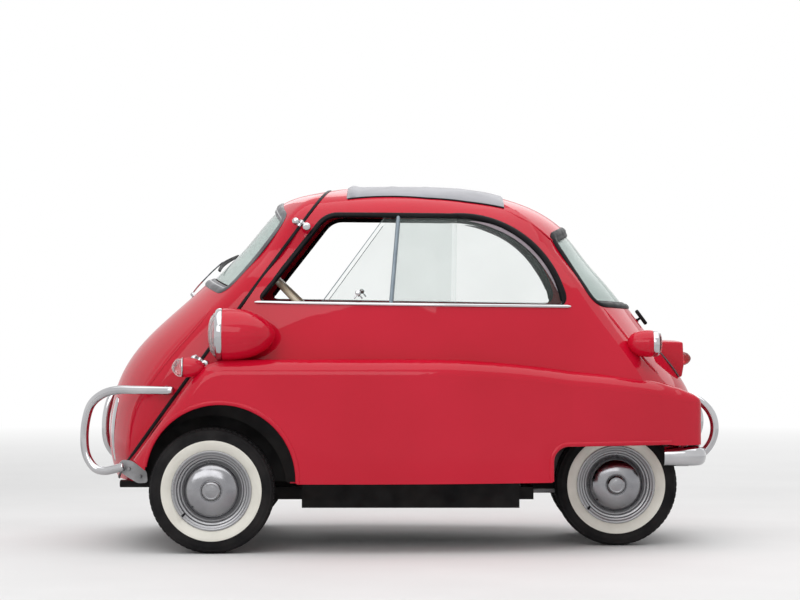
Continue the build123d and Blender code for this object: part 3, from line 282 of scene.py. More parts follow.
def lamp_glass(name, colour):
    """Pressed lamp glass with upright flutes."""
    made, tree, shader = new_material(name, colour, 0.03, Transmission_Weight=0.9, IOR=1.45)
    flutes = placed(tree, add_node(tree, "ShaderNodeTexWave", Scale=26))
    flutes.bands_direction = "Y"
    bump(tree, shader, flutes.outputs["Fac"], 0.5, 0.0012)
    return made


finishes["glass_clear"] = window_glass()
for name, colour in (("lens_clear", (0.97, 0.95, 0.95)), ("lens_red", (0.55, 0.02, 0.03)),
                     ("lens_amber", (0.97, 0.86, 0.85))):
    finishes[name] = lamp_glass(name, colour)

# %% [markdown]
# Behind the headlamp glass is a silvered bowl, and behind the indicator's cut glass a small mirror. Both
# are plain metal values.

# %% Silvered bowl
worked("mirror_bowl", (0.82, 0.82, 0.84), 0.12, None, (60, 3, 0.08, 0.18), Metallic=1.0)

# %% [markdown]
# The cabin has a grained grey vinyl roof cloth, a woven seat cloth and cream plastic on the steering
# wheel. Grain is a cell pattern, and a weave is two crossed waves: both are bumps a millimetre or so wide.

# %% Cabin finishes
_, tree, shader = worked("vinyl_grey", (0.31, 0.31, 0.34), 0.55,
                         (6, 5, (0.26, 0.26, 0.285), (0.36, 0.36, 0.39)), Sheen_Weight=0.15)
cells = placed(tree, add_node(tree, "ShaderNodeTexVoronoi", Scale=420))
bump(tree, shader, cells.outputs["Distance"], 0.35, 0.0008)

_, tree, shader = worked("seat_cloth", (0.30, 0.29, 0.27), 0.85, Sheen_Weight=0.3)
threads = []
for direction in ("Y", "DIAGONAL"):
    wave = placed(tree, add_node(tree, "ShaderNodeTexWave", Scale=160, Distortion=0.6))
    wave.bands_direction = direction
    threads.append(wave.outputs["Fac"])
weave = join_values(tree, "MULTIPLY", *threads)
tint(tree, shader, weave, (0.20, 0.19, 0.18), (0.40, 0.385, 0.36))
bump(tree, shader, weave, 0.6, 0.0010)

worked("ivory", (0.62, 0.55, 0.40), 0.3, (20, 4, (0.56, 0.49, 0.35), (0.67, 0.60, 0.45)),
       (45, 3, 0.22, 0.42), Coat_Weight=0.4)

# %% [markdown]
# The frame's own pieces that stay in sight take these finishes through their slots.

# %% Finishes on the frame's own pieces
for node in nodes.values():
    for index, old in enumerate(node.data.materials):
        node.data.materials[index] = finishes[old.name.split(".")[0]]
print("finishes", len(finishes))

# %% [markdown]
# The studio is a pale floor that fades to a white room, so there is no horizon behind the car. The room's
# light is soft: a dim white surround does most of it, a broad overhead panel shapes the top surfaces, and
# one panel each side draws long soft highlights along the flanks. The white that the camera sees is set
# apart by Light Path, so it adds nothing to the light on the car.

# %% Studio
ROOM_LIGHT = 0.42
FLOOR_RADIUS = 40.0
FLOOR_STEPS = 96
FADE_START = 3.2
FADE_END = 9.0


def seen_directly(tree):
    """1 for rays from the camera, mirrors and glass, 0 for rays that carry light to a surface."""
    path = tree.nodes.new("ShaderNodeLightPath")
    either = join_values(tree, "MAXIMUM", path.outputs["Is Camera Ray"], path.outputs["Is Glossy Ray"])
    return join_values(tree, "MAXIMUM", either, path.outputs["Is Transmission Ray"])


world = bpy.data.worlds.new("white_room")
world.use_nodes = True
room = world.node_tree
dim = room.nodes["Background"]
dim.inputs["Color"].default_value = (1, 1, 1, 1)
dim.inputs["Strength"].default_value = ROOM_LIGHT
bright = add_node(room, "ShaderNodeBackground", Color=(1, 1, 1, 1), Strength=1.0)
show_mix(room, seen_directly(room), dim, bright, "World Output")
bpy.context.scene.world = world


def linked(name, mesh):
    """An object that shows a mesh in the scene."""
    made = bpy.data.objects.new(name, mesh)
    bpy.context.scene.collection.objects.link(made)
    return made


def pale_floor():
    """The floor's finish, which turns to plain white with distance."""
    made, tree, shader = worked("floor_pale", (0.74, 0.74, 0.74), 0.75,
                                (1.5, 6, (0.72, 0.72, 0.72), (0.76, 0.76, 0.76)),
                                None, (60, 4, 0.15, 0.002))
    place = tree.nodes.new("ShaderNodeTexCoord")
    reach = tree.nodes.new("ShaderNodeVectorMath")
    reach.operation = "LENGTH"
    wire(tree, (place.outputs["Object"], reach.inputs[0]))
    fade = between(tree, reach.outputs["Value"], 0, 1, FADE_START, FADE_END)
    white = tree.nodes.new("ShaderNodeEmission")
    show_mix(tree, join_values(tree, "MULTIPLY", fade, seen_directly(tree)), shader, white)
    return made


ring = [(FLOOR_RADIUS * math.cos(a), FLOOR_RADIUS * math.sin(a), 0)
        for a in np.linspace(0, 2 * math.pi, FLOOR_STEPS, endpoint=False)]
disc = bpy.data.meshes.new("studio_floor")
disc.from_pydata(ring, [], [range(FLOOR_STEPS)])
disc.materials.append(pale_floor())
linked("studio_floor", disc)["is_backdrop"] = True

# Columns: name, place, where it points, width, height, power
for name, place, target, width, height, power in (
        ("overhead_panel", (0.3, -0.6, 5.2), (0.1, 0, 0.6), 9.0, 7.0, 270),
        ("near_panel", (-2.6, -7.5, 4.4), (0, 0, 0.7), 10.0, 3.4, 200),
        ("far_panel", (2.6, 7.0, 4.2), (0, 0, 0.8), 10.0, 3.4, 130)):
    panel = bpy.data.lights.new(name, "AREA")
    panel.shape = "RECTANGLE"
    panel.size, panel.size_y, panel.energy = width, height, power
    lamp = linked(name, panel)
    lamp.location = place
    lamp.rotation_euler = (Vector(target) - Vector(place)).to_track_quat("-Z", "Y").to_euler()
print("studio ready, floor radius", FLOOR_RADIUS)

# %% [markdown]
# Most pieces are made in mesh code. These helpers turn points and faces into a piece that rides on its
# body: `piece` links the mesh and gives it its finish, `loft` lays a skin over rings of points, `lathe`
# turns a profile about an axle, and `tube` runs a round or oval bead along a path.

# %% Pieces
SHARP = math.radians(38)
PANEL_SHARP = math.radians(24)
MM = 0.001
# The two sides of the car, and which way each lies along Y
SIDES = {"left": -1, "right": 1}


def piece(name, mesh, finish, body, stands_for=()):
    """Links a mesh as a piece on a body, with one finish or several for its material indices."""
    words = [finish] if isinstance(finish, str) else finish
    # Clearing sets every face's index to 0, so a mesh that holds no material yet is left alone
    if mesh.materials:
        mesh.materials.clear()
    for word in words:
        mesh.materials.append(finishes[word])
    made = linked(name, mesh)
    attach(made, body)
    if stands_for:
        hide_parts(stands_for)
    return made


def on_each_side(name, make, finish, body, stands_for=()):
    """The same piece on both sides, made from the side's name."""
    for side in SIDES:
        piece(name + "_" + side, make(side), finish, body, stands_for)


# %% [markdown]
# A mesh made from points and faces is joined at its doubles and turned outwards. Edges past an angle are
# sharp and the rest are shaded smooth. A mirrored copy serves the car's other side.

# %% Meshes
def smoothed(mesh, sharp=SHARP):
    """The mesh shaded smooth, with its edges past an angle sharp."""
    mesh.shade_smooth()
    mesh.set_sharp_from_angle(angle=sharp)
    return mesh


def mesh_from(work, name, sharp=SHARP):
    """A new smooth-shaded mesh from a bmesh, which is freed."""
    made = bpy.data.meshes.new(name)
    work.to_mesh(made)
    work.free()
    return smoothed(made, sharp)


def mesh_of(name, points, faces, kinds=None, sharp=SHARP):
    """A mesh from points and faces, facing outwards. kinds are the faces' material indices."""
    raw = bpy.data.meshes.new("raw_" + name)
    raw.from_pydata([tuple(p) for p in points], [], faces)
    if kinds is not None:
        raw.polygons.foreach_set("material_index", kinds)
    work = bmesh.new()
    work.from_mesh(raw)
    bpy.data.meshes.remove(raw)
    bmesh.ops.remove_doubles(work, verts=work.verts, dist=1e-6)
    bmesh.ops.recalc_face_normals(work, faces=work.faces)
    return mesh_from(work, name, sharp)


def joined(name, meshes):
    """Several meshes as one, with their material indices kept."""
    work = bmesh.new()
    for mesh in meshes:
        work.from_mesh(mesh)
    return mesh_from(work, name)


def moved(mesh, matrix):
    """The same mesh, moved or mirrored, with its faces still outwards."""
    made = mesh.copy()
    made.transform(matrix)
    if matrix.determinant() < 0:
        made.flip_normals()
    return made


def mirrored(mesh):
    """The mesh on the car's other side."""
    return moved(mesh, Matrix.Scale(-1, 4, (0, 1, 0)))


def applied(target):
    """The mesh that an object's modifiers give."""
    bpy.context.view_layer.update()
    solved = target.evaluated_get(bpy.context.evaluated_depsgraph_get())
    return bpy.data.meshes.new_from_object(solved)


def merged_copy(node_name):
    """A node's mesh as a bmesh, with its loose triangles joined at their corners."""
    work = bmesh.new()
    work.from_mesh(nodes[node_name].data)
    bmesh.ops.remove_doubles(work, verts=work.verts, dist=1e-5)
    return work


# %% [markdown]
# Nearly every shape is rings of points with a skin over them: a turned profile, a bead along a path, or a
# section carried along a line.

# %% Lofts, turned shapes and beads
def grid_faces(rows, columns, closed_rows=False, closed_columns=False):
    """Quads over a grid of points counted row by row."""
    faces = []
    for r in range(rows if closed_rows else rows - 1):
        for c in range(columns if closed_columns else columns - 1):
            below, beside = (r + 1) % rows, (c + 1) % columns
            faces.append((r * columns + c, r * columns + beside, below * columns + beside,
                          below * columns + c))
    return faces


def loft(name, rings, closed=False, kinds=None):
    """A skin over closed rings of points: closed into a loop, or with a flat end on each side."""
    count = len(rings[0])
    points = [spot for ring in rings for spot in ring]
    faces = grid_faces(len(rings), count, closed_rows=closed, closed_columns=True)
    if not closed:
        faces += [tuple(range(count)), tuple(range(len(points) - count, len(points)))[::-1]]
    return mesh_of(name, points, faces, kinds)


def lathe(name, profile, centre, axis=(0, 1, 0), steps=96, kinds=None):
    """A closed profile of (distance along the axis, radius), turned about an axis through a centre."""
    level = Vector(axis).to_track_quat("Z", "Y").to_matrix()
    rings = [[Vector(centre) + level @ Vector((radius * math.cos(turn), radius * math.sin(turn), along))
              for along, radius in profile]
             for turn in np.linspace(0, 2 * math.pi, steps, endpoint=False)]
    return loft(name, rings, closed=True, kinds=None if kinds is None else list(kinds) * steps)


def scaled(profile):
    """A profile given in millimetres, in metres."""
    return [(along * MM, radius * MM) for along, radius in profile]


def tube(name, path, radius, around=12, flat=1.0, up=None):
    """A bead along a path. flat squashes its height, and up gives each point's height direction."""
    path = [Vector(p) for p in path]
    rings = []
    side = None
    for i, here in enumerate(path):
        run = (path[min(i + 1, len(path) - 1)] - path[max(i - 1, 0)]).normalized()
        if up is not None:
            side = run.cross(Vector(up[i])).normalized()
        elif side is None:
            side = run.orthogonal().normalized()
        else:
            side = (side - run * side.dot(run)).normalized()
        height = side.cross(run).normalized()
        wide = radius[i] if hasattr(radius, "__len__") else radius
        rings.append([here + side * wide * math.cos(turn) + height * wide * flat * math.sin(turn)
                      for turn in np.linspace(0, 2 * math.pi, around, endpoint=False)])
    return loft(name, rings)


def rounded(corner_points, radius, steps=8):
    """A closed outline with its corners rounded."""
    made = []
    count = len(corner_points)
    for i in range(count):
        here = Vector(corner_points[i])
        back = Vector(corner_points[i - 1]) - here
        on = Vector(corner_points[(i + 1) % count]) - here
        reach = min(radius, back.length * 0.45, on.length * 0.45)
        start, end = here + back.normalized() * reach, here + on.normalized() * reach
        for share in np.linspace(0, 1, steps):
            made.append(tuple(start * (1 - share)**2 + here * 2 * share * (1 - share) + end * share**2))
    return made


def spline(ends, steps):
    """Places along the smooth curve through vectors or rows, from the second to the last but one."""
    made = []
    for i in range(1, len(ends) - 2):
        a, b, c, d = ends[i - 1:i + 3]
        for share in np.linspace(0, 1, steps, endpoint=False):
            made.append(0.5 * (2 * b + (c - a) * share + (2 * a - 5 * b + 4 * c - d) * share**2
                               + (3 * b - a - 3 * c + d) * share**3))
    return made + [ends[-2]]


print("mesh helpers ready")

# %% [markdown]
# The shell is an egg made of level sections, each of four arcs with rounded corners. A smooth curve through
# the sections gives the skin at any height. It isn't drawn itself: the seals, trims and gap rubber need to
# know where the skin is, so a ray is shot at this surface and tells the point and the direction outwards.

# %% Shell skin
# Columns, in millimetres: height, nose x, tail x, half width, x where widest, nose corner x and y,
# tail corner x and y, nose corner radius, tail corner radius
SHELL_LEVELS = np.array([
    (250, -1085, 1105, 548, -130, -985, 436, 955, 430, 110, 110),
    (420, -1116, 1126, 572, -130, -990, 464, 960, 448, 120, 110),
    (600, -1085, 1094, 588, -100, -925, 482, 915, 455, 140, 110),
    (740, -1003, 992, 592, -60, -830, 484, 825, 452, 140, 110),
    (900, -836, 870, 582, -40, -672, 484, 705, 438, 125, 100),
    (1050, -676, 744, 555, -30, -532, 462, 600, 410, 110, 90),
    (1200, -541, 618, 512, -20, -425, 426, 495, 365, 95, 80),
    (1260, -487, 530, 482, 0, -382, 404, 430, 335, 85, 75),
    (1300, -430, 432, 432, 0, -338, 352, 350, 292, 75, 65),
    (1328, -335, 330, 335, 0, -262, 258, 262, 218, 60, 50),
    (1345, -215, 190, 190, 0, -168, 140, 140, 122, 30, 25)]) * MM
SKIN_ROWS = 150


def smooth_rows(table, count):
    """Rows evenly spaced along a natural cubic curve through a table's rows."""
    reach = np.concatenate([[0], np.cumsum(np.linalg.norm(np.diff(table[:, :5], axis=0), axis=1))])
    gaps = np.diff(reach)
    size = len(table)
    system = np.eye(size)
    right = np.zeros_like(table)
    for i in range(1, size - 1):
        system[i, i - 1:i + 2] = gaps[i - 1], 2 * (gaps[i - 1] + gaps[i]), gaps[i]
        right[i] = 6 * ((table[i + 1] - table[i]) / gaps[i] - (table[i] - table[i - 1]) / gaps[i - 1])
    bend = np.linalg.solve(system, right)
    made = []
    for spot in np.linspace(0, reach[-1], count):
        i = min(np.searchsorted(reach, spot, side="right") - 1, size - 2)
        a, b = (reach[i + 1] - spot) / gaps[i], (spot - reach[i]) / gaps[i]
        made.append(a * table[i] + b * table[i + 1]
                    + ((a**3 - a) * bend[i] + (b**3 - b) * bend[i + 1]) * gaps[i]**2 / 6)
    return made


def arc_middle(first, middle, last):
    """The centre and radius of the circle through three points."""
    (ax, ay), (bx, by), (cx, cy) = first, middle, last
    twice = 2 * (ax * (by - cy) + bx * (cy - ay) + cx * (ay - by))
    squares = [x * x + y * y for x, y in (first, middle, last)]
    x = (squares[0] * (by - cy) + squares[1] * (cy - ay) + squares[2] * (ay - by)) / twice
    y = (squares[0] * (cx - bx) + squares[1] * (ax - cx) + squares[2] * (bx - ax)) / twice
    return np.array((x, y)), math.hypot(ax - x, ay - y)


def corner_blend(one, two, radius, corner):
    """The centre of the fillet inside two circles near their corner."""
    (first, r1), (second, r2) = one, two
    between_centres = second - first
    apart = np.linalg.norm(between_centres)
    a, b = r1 - radius, r2 - radius
    along = (a * a - b * b + apart * apart) / (2 * apart)
    off = math.sqrt(max(a * a - along * along, 0))
    unit = between_centres / apart
    middle = first + unit * along
    across = np.array((-unit[1], unit[0])) * off
    return min((middle + across, middle - across), key=lambda p: np.linalg.norm(p - corner))


def arc_points(centre, radius, start, end, count):
    """Points along the shorter arc from one point to another."""
    first = math.atan2(*(start - centre)[::-1])
    turn = (math.atan2(*(end - centre)[::-1]) - first + math.pi) % (2 * math.pi) - math.pi
    return [centre + radius * np.array((math.cos(first + turn * s), math.sin(first + turn * s)))
            for s in np.linspace(0, 1, count, endpoint=False)]


def half_section(row):
    """The right half of a level section, from the nose round the side to the tail."""
    height, nose_x, tail_x, half, wide_x, ncx, ncy, tcx, tcy, nose_r, tail_r = row
    nose = arc_middle((ncx, -ncy), (nose_x, 0), (ncx, ncy))
    side = arc_middle((ncx, ncy), (wide_x, half), (tcx, tcy))
    tail = arc_middle((tcx, -tcy), (tail_x, 0), (tcx, tcy))
    front = corner_blend(nose, side, nose_r, np.array((ncx, ncy)))
    rear = corner_blend(tail, side, tail_r, np.array((tcx, tcy)))

    def touch(circle, blend):
        return circle[0] + (blend - circle[0]) / np.linalg.norm(blend - circle[0]) * circle[1]

    stops = [np.array((nose_x, 0.0)), touch(nose, front), touch(side, front), touch(side, rear),
             touch(tail, rear), np.array((tail_x, 0.0))]
    made = []
    for (centre, radius), start, end, count in (
            (nose, stops[0], stops[1], 16), ((front, nose_r), stops[1], stops[2], 10),
            (side, stops[2], stops[3], 60), ((rear, tail_r), stops[3], stops[4], 10),
            (tail, stops[4], stops[5], 16)):
        made += arc_points(centre, radius, start, end, count)
    return [(x, y, height) for x, y in made + [stops[5]]]


def ray_tree(mesh):
    """A tree that finds where a ray meets a mesh."""
    work = bmesh.new()
    work.from_mesh(mesh)
    made = BVHTree.FromBMesh(work)
    work.free()
    return made


skin_rows = []
for row in smooth_rows(SHELL_LEVELS, SKIN_ROWS):
    right = half_section(row)
    skin_rows.append(right + [(x, -y, z) for x, y, z in right[-2:0:-1]])
skin = loft("skin", skin_rows)
skin_tree = ray_tree(skin)


def smooth_normal(spot, face):
    """The skin's direction outwards at a spot, blended from the corners of its face."""
    blend = Vector()
    for corner in skin.polygons[face].vertices:
        near = skin.vertices[corner]
        blend += near.normal / ((near.co - spot).length + 1e-5)
    return blend.normalized()


def on_skin(origin, direction, proud=0.0):
    """Where a ray from inside or outside meets the skin, raised by proud, and the way outwards there."""
    spot, _, face, _ = skin_tree.ray_cast(Vector(origin), Vector(direction))
    normal = smooth_normal(spot, face)
    return spot + normal * proud, normal


NOSE_HEIGHT = 0.42
nose_spot, _ = on_skin((-3, 0, NOSE_HEIGHT), (1, 0, 0))
print("skin", len(skin.polygons), "faces, nose at", round(nose_spot.x, 4))

# %% [markdown]
# ## Wheels
# A wheel is a cross-ply tyre with a whitewall band, a pressed steel rim and a domed hubcap. All three are
# turned shapes, so each is one profile, from the middle of the tyre outwards, turned about the axle. The
# rim keeps the brake drum on its back, because both turn together.

# %% Wheel profiles
# Columns of each profile: distance outwards from the tyre's middle, radius, in millimetres
TYRE_SIDE = [(41.5, 133), (42, 143), (45, 147.5), (51, 155), (56, 165), (60, 176), (61.2, 184), (60.2, 186),
             (60.6, 192), (58.6, 198), (59.4, 201), (57.6, 207), (54.5, 213), (52.4, 217), (52.6, 219.5),
             (49, 223), (44, 225), (40.5, 225.2), (27, 225.9), (12, 226.4)]
WHITE_BAND = range(1, 6)
RIM_PROFILE = [(42, 133), (42, 143), (43.5, 145.8), (46, 147), (48.4, 146), (49.2, 143), (48.6, 140),
               (46.8, 137.8), (44, 135.6), (42, 132.5), (41.2, 129.5), (38, 128.2), (31, 127.2), (27, 125.5),
               (25.4, 122), (25, 119.5), (16, 118.4), (11, 117), (8.6, 114), (8.6, 111), (11, 108),
               (16, 105.6), (21, 103.4), (24.6, 100), (26, 95), (26, 46), (22, 40), (14, 34), (14, 15.4),
               (-12, 15.4), (-12, 34), (-22, 36), (-22, 82), (-20, 84), (5, 84), (5, 112), (5, 115),
               (-20, 117), (-34, 120), (-39, 127), (-43, 133), (-46, 137.5), (-48.6, 140), (-49, 143),
               (-48, 146), (-46, 147), (-43.5, 145.8), (-42, 143), (-42, 133), (0, 131)]
HUBCAP_PROFILE = [(26.4, 0), (26.4, 99), (27.5, 100.4), (29.5, 100.8), (31.5, 100), (35, 98.4), (40.5, 94.6),
                  (46.5, 87.2), (51.5, 77.4), (55.6, 65), (58.4, 52), (59.6, 43), (59.4, 41), (57.8, 39.6),
                  (57.6, 38.2), (58.6, 36.8), (63, 35.6), (67.5, 33.6), (70.6, 30), (72, 27.5), (71.4, 25.5),
                  (71.6, 22), (73, 16), (73.8, 9), (74.1, 0)]
AXLE_HEIGHT = 0.23
WHEEL_STEPS = 128
TREAD_PITCHES = 64
TREAD_TOP = 229.6
# Columns: from and to across the tyre, skew of the block along its run, bottom radius, share of the pitch
TREAD_RIBS = [(-44, -29, 1.5, 224.5, 0.74), (-25, -11, -2.5, 225.6, 0.84), (-7.5, 7.5, 2.5, 226.0, 0.84),
              (11, 25, -2.5, 225.6, 0.84), (29, 44, 1.5, 224.5, 0.74)]


def tread_pitch():
    """The blocks of one pitch of the tread, on the tyre's +X side with the axle along Z."""
    half_pitch = math.pi * TREAD_TOP / TREAD_PITCHES
    points, faces = [], []
    for row, (low, high, skew, floor_radius, share) in enumerate(TREAD_RIBS):
        start = len(points)
        half = half_pitch * share
        shift = half_pitch * (row % 2)
        top = TREAD_TOP - (0.9 if abs(low + high) > 60 else 0.35 if abs(low + high) > 10 else 0)
        for radius, trim in ((floor_radius - 1, 1.0), (top, 0.93)):
            for across, along in ((low, -half), (high, -half), (high, half), (low, half)):
                middle = (low + high) / 2
                lean = skew * (1 if across > middle else -1)
                points.append((radius * MM, ((along * trim + lean) + shift) * MM,
                               (middle + (across - middle) * trim) * MM))
        faces += [tuple(start + i for i in face) for face in
                  ((4, 5, 6, 7), (0, 1, 5, 4), (1, 2, 6, 5), (2, 3, 7, 6), (3, 0, 4, 7))]
    return mesh_of("tread_pitch", points, faces)


# %% [markdown]
# The tread's blocks are one pitch repeated round the tyre, which is what Geometry Nodes do best. Three
# helpers are shared with the louvres further down: one opens a tree with its named inputs, one ends it in
# Realize Instances and Set Material, and one runs it on an object and keeps the result as a plain mesh.

# %% Node tree helpers
def nodes_tree(name, inputs):
    """A geometry tree with named inputs, its group input's outputs, and its output node."""
    tree = bpy.data.node_groups.new(name, "GeometryNodeTree")
    for word, kind in inputs:
        tree.interface.new_socket(word, in_out="INPUT", socket_type="NodeSocket" + kind)
    tree.interface.new_socket("Made", in_out="OUTPUT", socket_type="NodeSocketGeometry")
    return tree, tree.nodes.new("NodeGroupInput").outputs, tree.nodes.new("NodeGroupOutput")


def made_real(tree, instances, finish, result):
    """Ends a tree: the instances become plain mesh with a material."""
    real = tree.nodes.new("GeometryNodeRealizeInstances")
    paint = tree.nodes.new("GeometryNodeSetMaterial")
    wire(tree, (instances, real.inputs["Geometry"]), (real.outputs["Geometry"], paint.inputs["Geometry"]),
         (finish, paint.inputs["Material"]), (paint.outputs["Geometry"], result.inputs["Made"]))


def from_nodes(target, tree, values):
    """The mesh that a tree makes of an object, which is removed afterwards."""
    modifier = target.modifiers.new("nodes", "NODES")
    modifier.node_group = tree
    for word, value in values.items():
        modifier[tree.interface.items_tree[word].identifier] = value
    made = applied(target)
    bpy.data.objects.remove(target)
    # The tree's material came second on the mesh: clearing sets the faces' indices back to the first
    made.materials.clear()
    return made


# %% [markdown]
# One tread block is set round the tyre as many times as its pitch allows.

# %% Ring of tread blocks
def ring_nodes():
    """A node group that sets copies of its geometry round the Z axis."""
    group, given, result = nodes_tree("ring_of_copies", (("Block", "Geometry"), ("Copies", "Int"),
                                                         ("Rubber", "Material")))
    spots = group.nodes.new("GeometryNodePoints")
    number = group.nodes.new("GeometryNodeInputIndex")
    step = group.nodes.new("ShaderNodeMath")
    step.operation = "DIVIDE"
    step.inputs[0].default_value = 2 * math.pi
    wire(group, (given["Copies"], spots.inputs["Count"]), (given["Copies"], step.inputs[1]))
    turn = join_values(group, "MULTIPLY", number.outputs["Index"], step.outputs["Value"])
    about = group.nodes.new("ShaderNodeCombineXYZ")
    copies = group.nodes.new("GeometryNodeInstanceOnPoints")
    wire(group, (turn, about.inputs["Z"]), (spots.outputs["Points"], copies.inputs["Points"]),
         (given["Block"], copies.inputs["Instance"]), (about.outputs["Vector"], copies.inputs["Rotation"]))
    made_real(group, copies.outputs["Instances"], given["Rubber"], result)
    return group


def ring_of(pitch, copies):
    """Copies of a mesh set round the Z axis, as one mesh."""
    return from_nodes(linked("ring_seed", pitch), ring_nodes(),
                      {"Copies": copies, "Rubber": finishes["tyre_black"]})


# Columns: word, node suffix, body, axle x, tyre's middle y, outward direction along Y
WHEELS = [("front_left", "_front_left", "wheel_front_left", -0.688, -0.6, -1),
          ("front_right", "_front_right", "wheel_front_right", -0.688, 0.6, 1),
          ("rear_left", "s_rear", "rear_wheels", 0.812, -0.26, -1),
          ("rear_right", "s_rear", "rear_wheels", 0.812, 0.26, 1)]
tyre_profile = scaled(TYRE_SIDE + [(-along, radius) for along, radius in reversed(TYRE_SIDE)])
tyre_kinds = [1 if i in WHITE_BAND else 0 for i in range(len(tyre_profile))]
tread_ring = ring_of(tread_pitch(), TREAD_PITCHES)
to_axle = Matrix.Rotation(math.pi / 2, 4, "X")
for word, suffix, body, axle_x, middle_y, outward in WHEELS:
    hub = Vector((axle_x, middle_y, AXLE_HEIGHT))
    axle = (0, outward, 0)
    carcass = lathe("carcass", tyre_profile, hub, axle, WHEEL_STEPS, tyre_kinds)
    tread = moved(tread_ring, Matrix.Translation(hub) @ to_axle)
    piece("tyre_" + word, joined("tyre_" + word, [carcass, tread]), ["tyre_black", "tyre_white"], body,
          stands_for="tyre" + suffix)
    piece("rim_" + word, lathe("rim", scaled(RIM_PROFILE), hub, axle, WHEEL_STEPS), "rim_silver", body,
          stands_for="rim" + suffix)
    piece("hubcap_" + word, lathe("hubcap", scaled(HUBCAP_PROFILE), hub, axle, WHEEL_STEPS), "hubcap_steel",
          body, stands_for="hubcap" + suffix)
print("wheels", len(WHEELS), "tread faces", len(tread_ring.polygons))

# %% [markdown]
# ## Seals and trims on the shell
# Each window sits in a moulded rubber strip that grips the panel's edge and the glass. The strip follows
# the window's outline, which is plain when seen square on, so its path is that flat outline cast onto the
# curved skin. The bead's height direction is the skin's own, which keeps it lying flat all the way round.

# %% Window outlines
WINDOW_CORNER = 0.050
OUTLINE_STEP, STRIP_STEP = 0.004, 0.012
# The side window's corners and the top of its rear bow
SIDE_LOW, SIDE_FRONT, SIDE_TOP, SIDE_BOW, SIDE_REAR = ((-0.532, 0.9207), (-0.276, 1.246), (0.190, 1.242),
                                                       (0.505, 1.128), (0.622, 0.902))


def arc_through(first, middle, last, steps=24):
    """Points along a flat arc through three points, without the last."""
    centre, radius = arc_middle(first, middle, last)
    return [tuple(spot) for spot in arc_points(centre, radius, np.array(first), np.array(last), steps)]


def even_spaced(outline, step):
    """The same closed outline with points about a step apart."""
    spots = np.array(list(outline) + [outline[0]])
    reach = np.concatenate([[0], np.cumsum(np.linalg.norm(np.diff(spots, axis=0), axis=1))])
    count = max(int(reach[-1] / step), 12)
    at = np.linspace(0, reach[-1], count, endpoint=False)
    return [tuple(row) for row in np.stack([np.interp(at, reach, spots[:, i]) for i in range(2)], axis=1)]


def corner_rounded(outline, corners, radius):
    """A closed outline whose named corner points are rounded by an arc-like blend."""
    flat = np.array(even_spaced(outline, OUTLINE_STEP))
    made = flat.copy()
    count = len(flat)
    reach = int(radius / OUTLINE_STEP)
    for corner in corners:
        near = int(np.argmin(np.linalg.norm(flat - np.array(corner), axis=1)))
        start, end = flat[(near - reach) % count], flat[(near + reach) % count]
        for i, share in enumerate(np.linspace(0, 1, 2 * reach + 1)):
            spot = (1 - share)**2 * start + 2 * share * (1 - share) * np.array(corner) + share**2 * end
            made[(near - reach + i) % count] = spot
    return [tuple(row) for row in made]


def glass_outline(low_z, low_corner, high_corner, high_z):
    """The windscreen's or rear window's outline in front view."""
    (ly, lz), (hy, hz) = low_corner, high_corner
    raw = (arc_through((-ly, lz), (0, low_z), (ly, lz)) + [(ly, lz)]
           + arc_through((hy, hz), (0, high_z), (-hy, hz)) + [(-hy, hz)])
    return corner_rounded(raw, ((-ly, lz), (ly, lz), (hy, hz), (-hy, hz)), WINDOW_CORNER)


def grown(outline, by):
    """A closed outline moved outwards by a distance, or inwards where it is negative."""
    spots = np.array(outline)
    run = np.roll(spots, -1, axis=0) - np.roll(spots, 1, axis=0)
    away = np.stack([run[:, 1], -run[:, 0]], axis=1)
    away /= np.linalg.norm(away, axis=1)[:, None]
    area = np.sum(spots[:, 0] * np.roll(spots[:, 1], -1) - np.roll(spots[:, 0], -1) * spots[:, 1])
    return [tuple(row) for row in spots + away * by * math.copysign(1, area)]


# Where each kind of outline lies, and which way it is cast onto the skin
CASTS = {"front": (lambda a, b: (-3, a, b), (1, 0, 0)), "rear": (lambda a, b: (3, a, b), (-1, 0, 0)),
         "left": (lambda a, b: (a, -3, b), (0, 1, 0)), "right": (lambda a, b: (a, 3, b), (0, -1, 0))}


def cast(outline, view, proud=0.0):
    """A flat outline cast onto the skin from a view: the points and the skin's directions there."""
    place, way = CASTS[view]
    hits = [on_skin(place(a, b), way, proud) for a, b in outline]
    return [spot for spot, _ in hits], [normal for _, normal in hits]


def strip_on_skin(name, outline, view, section):
    """A moulded strip along an outline: section rows are (distance outwards, height over the skin)."""
    flat = even_spaced(outline, STRIP_STEP)
    rails = [cast(grown(flat, out), view, height)[0] for out, height in section]
    return loft(name, rails, closed=True)


windscreen_outline = glass_outline(0.985, (0.436, 0.948), (0.384, 1.232), 1.286)
rear_outline = glass_outline(0.893, (0.405, 0.905), (0.325, 1.165), 1.194)
window_outline = corner_rounded([SIDE_LOW, SIDE_FRONT] + arc_through(SIDE_TOP, SIDE_BOW, SIDE_REAR, 60)
                                + [SIDE_REAR], (SIDE_LOW, SIDE_FRONT, SIDE_REAR), WINDOW_CORNER)
print("outlines", len(windscreen_outline), len(rear_outline), len(window_outline))

# %% [markdown]
# The windscreen and rear window seals are a rounded rubber bead outside, a groove, and a thinner lip that
# laps over the glass. The side windows have a flat black frame instead, wider at the rear, with a pale
# strip of felt inside that the sliding pane runs in.

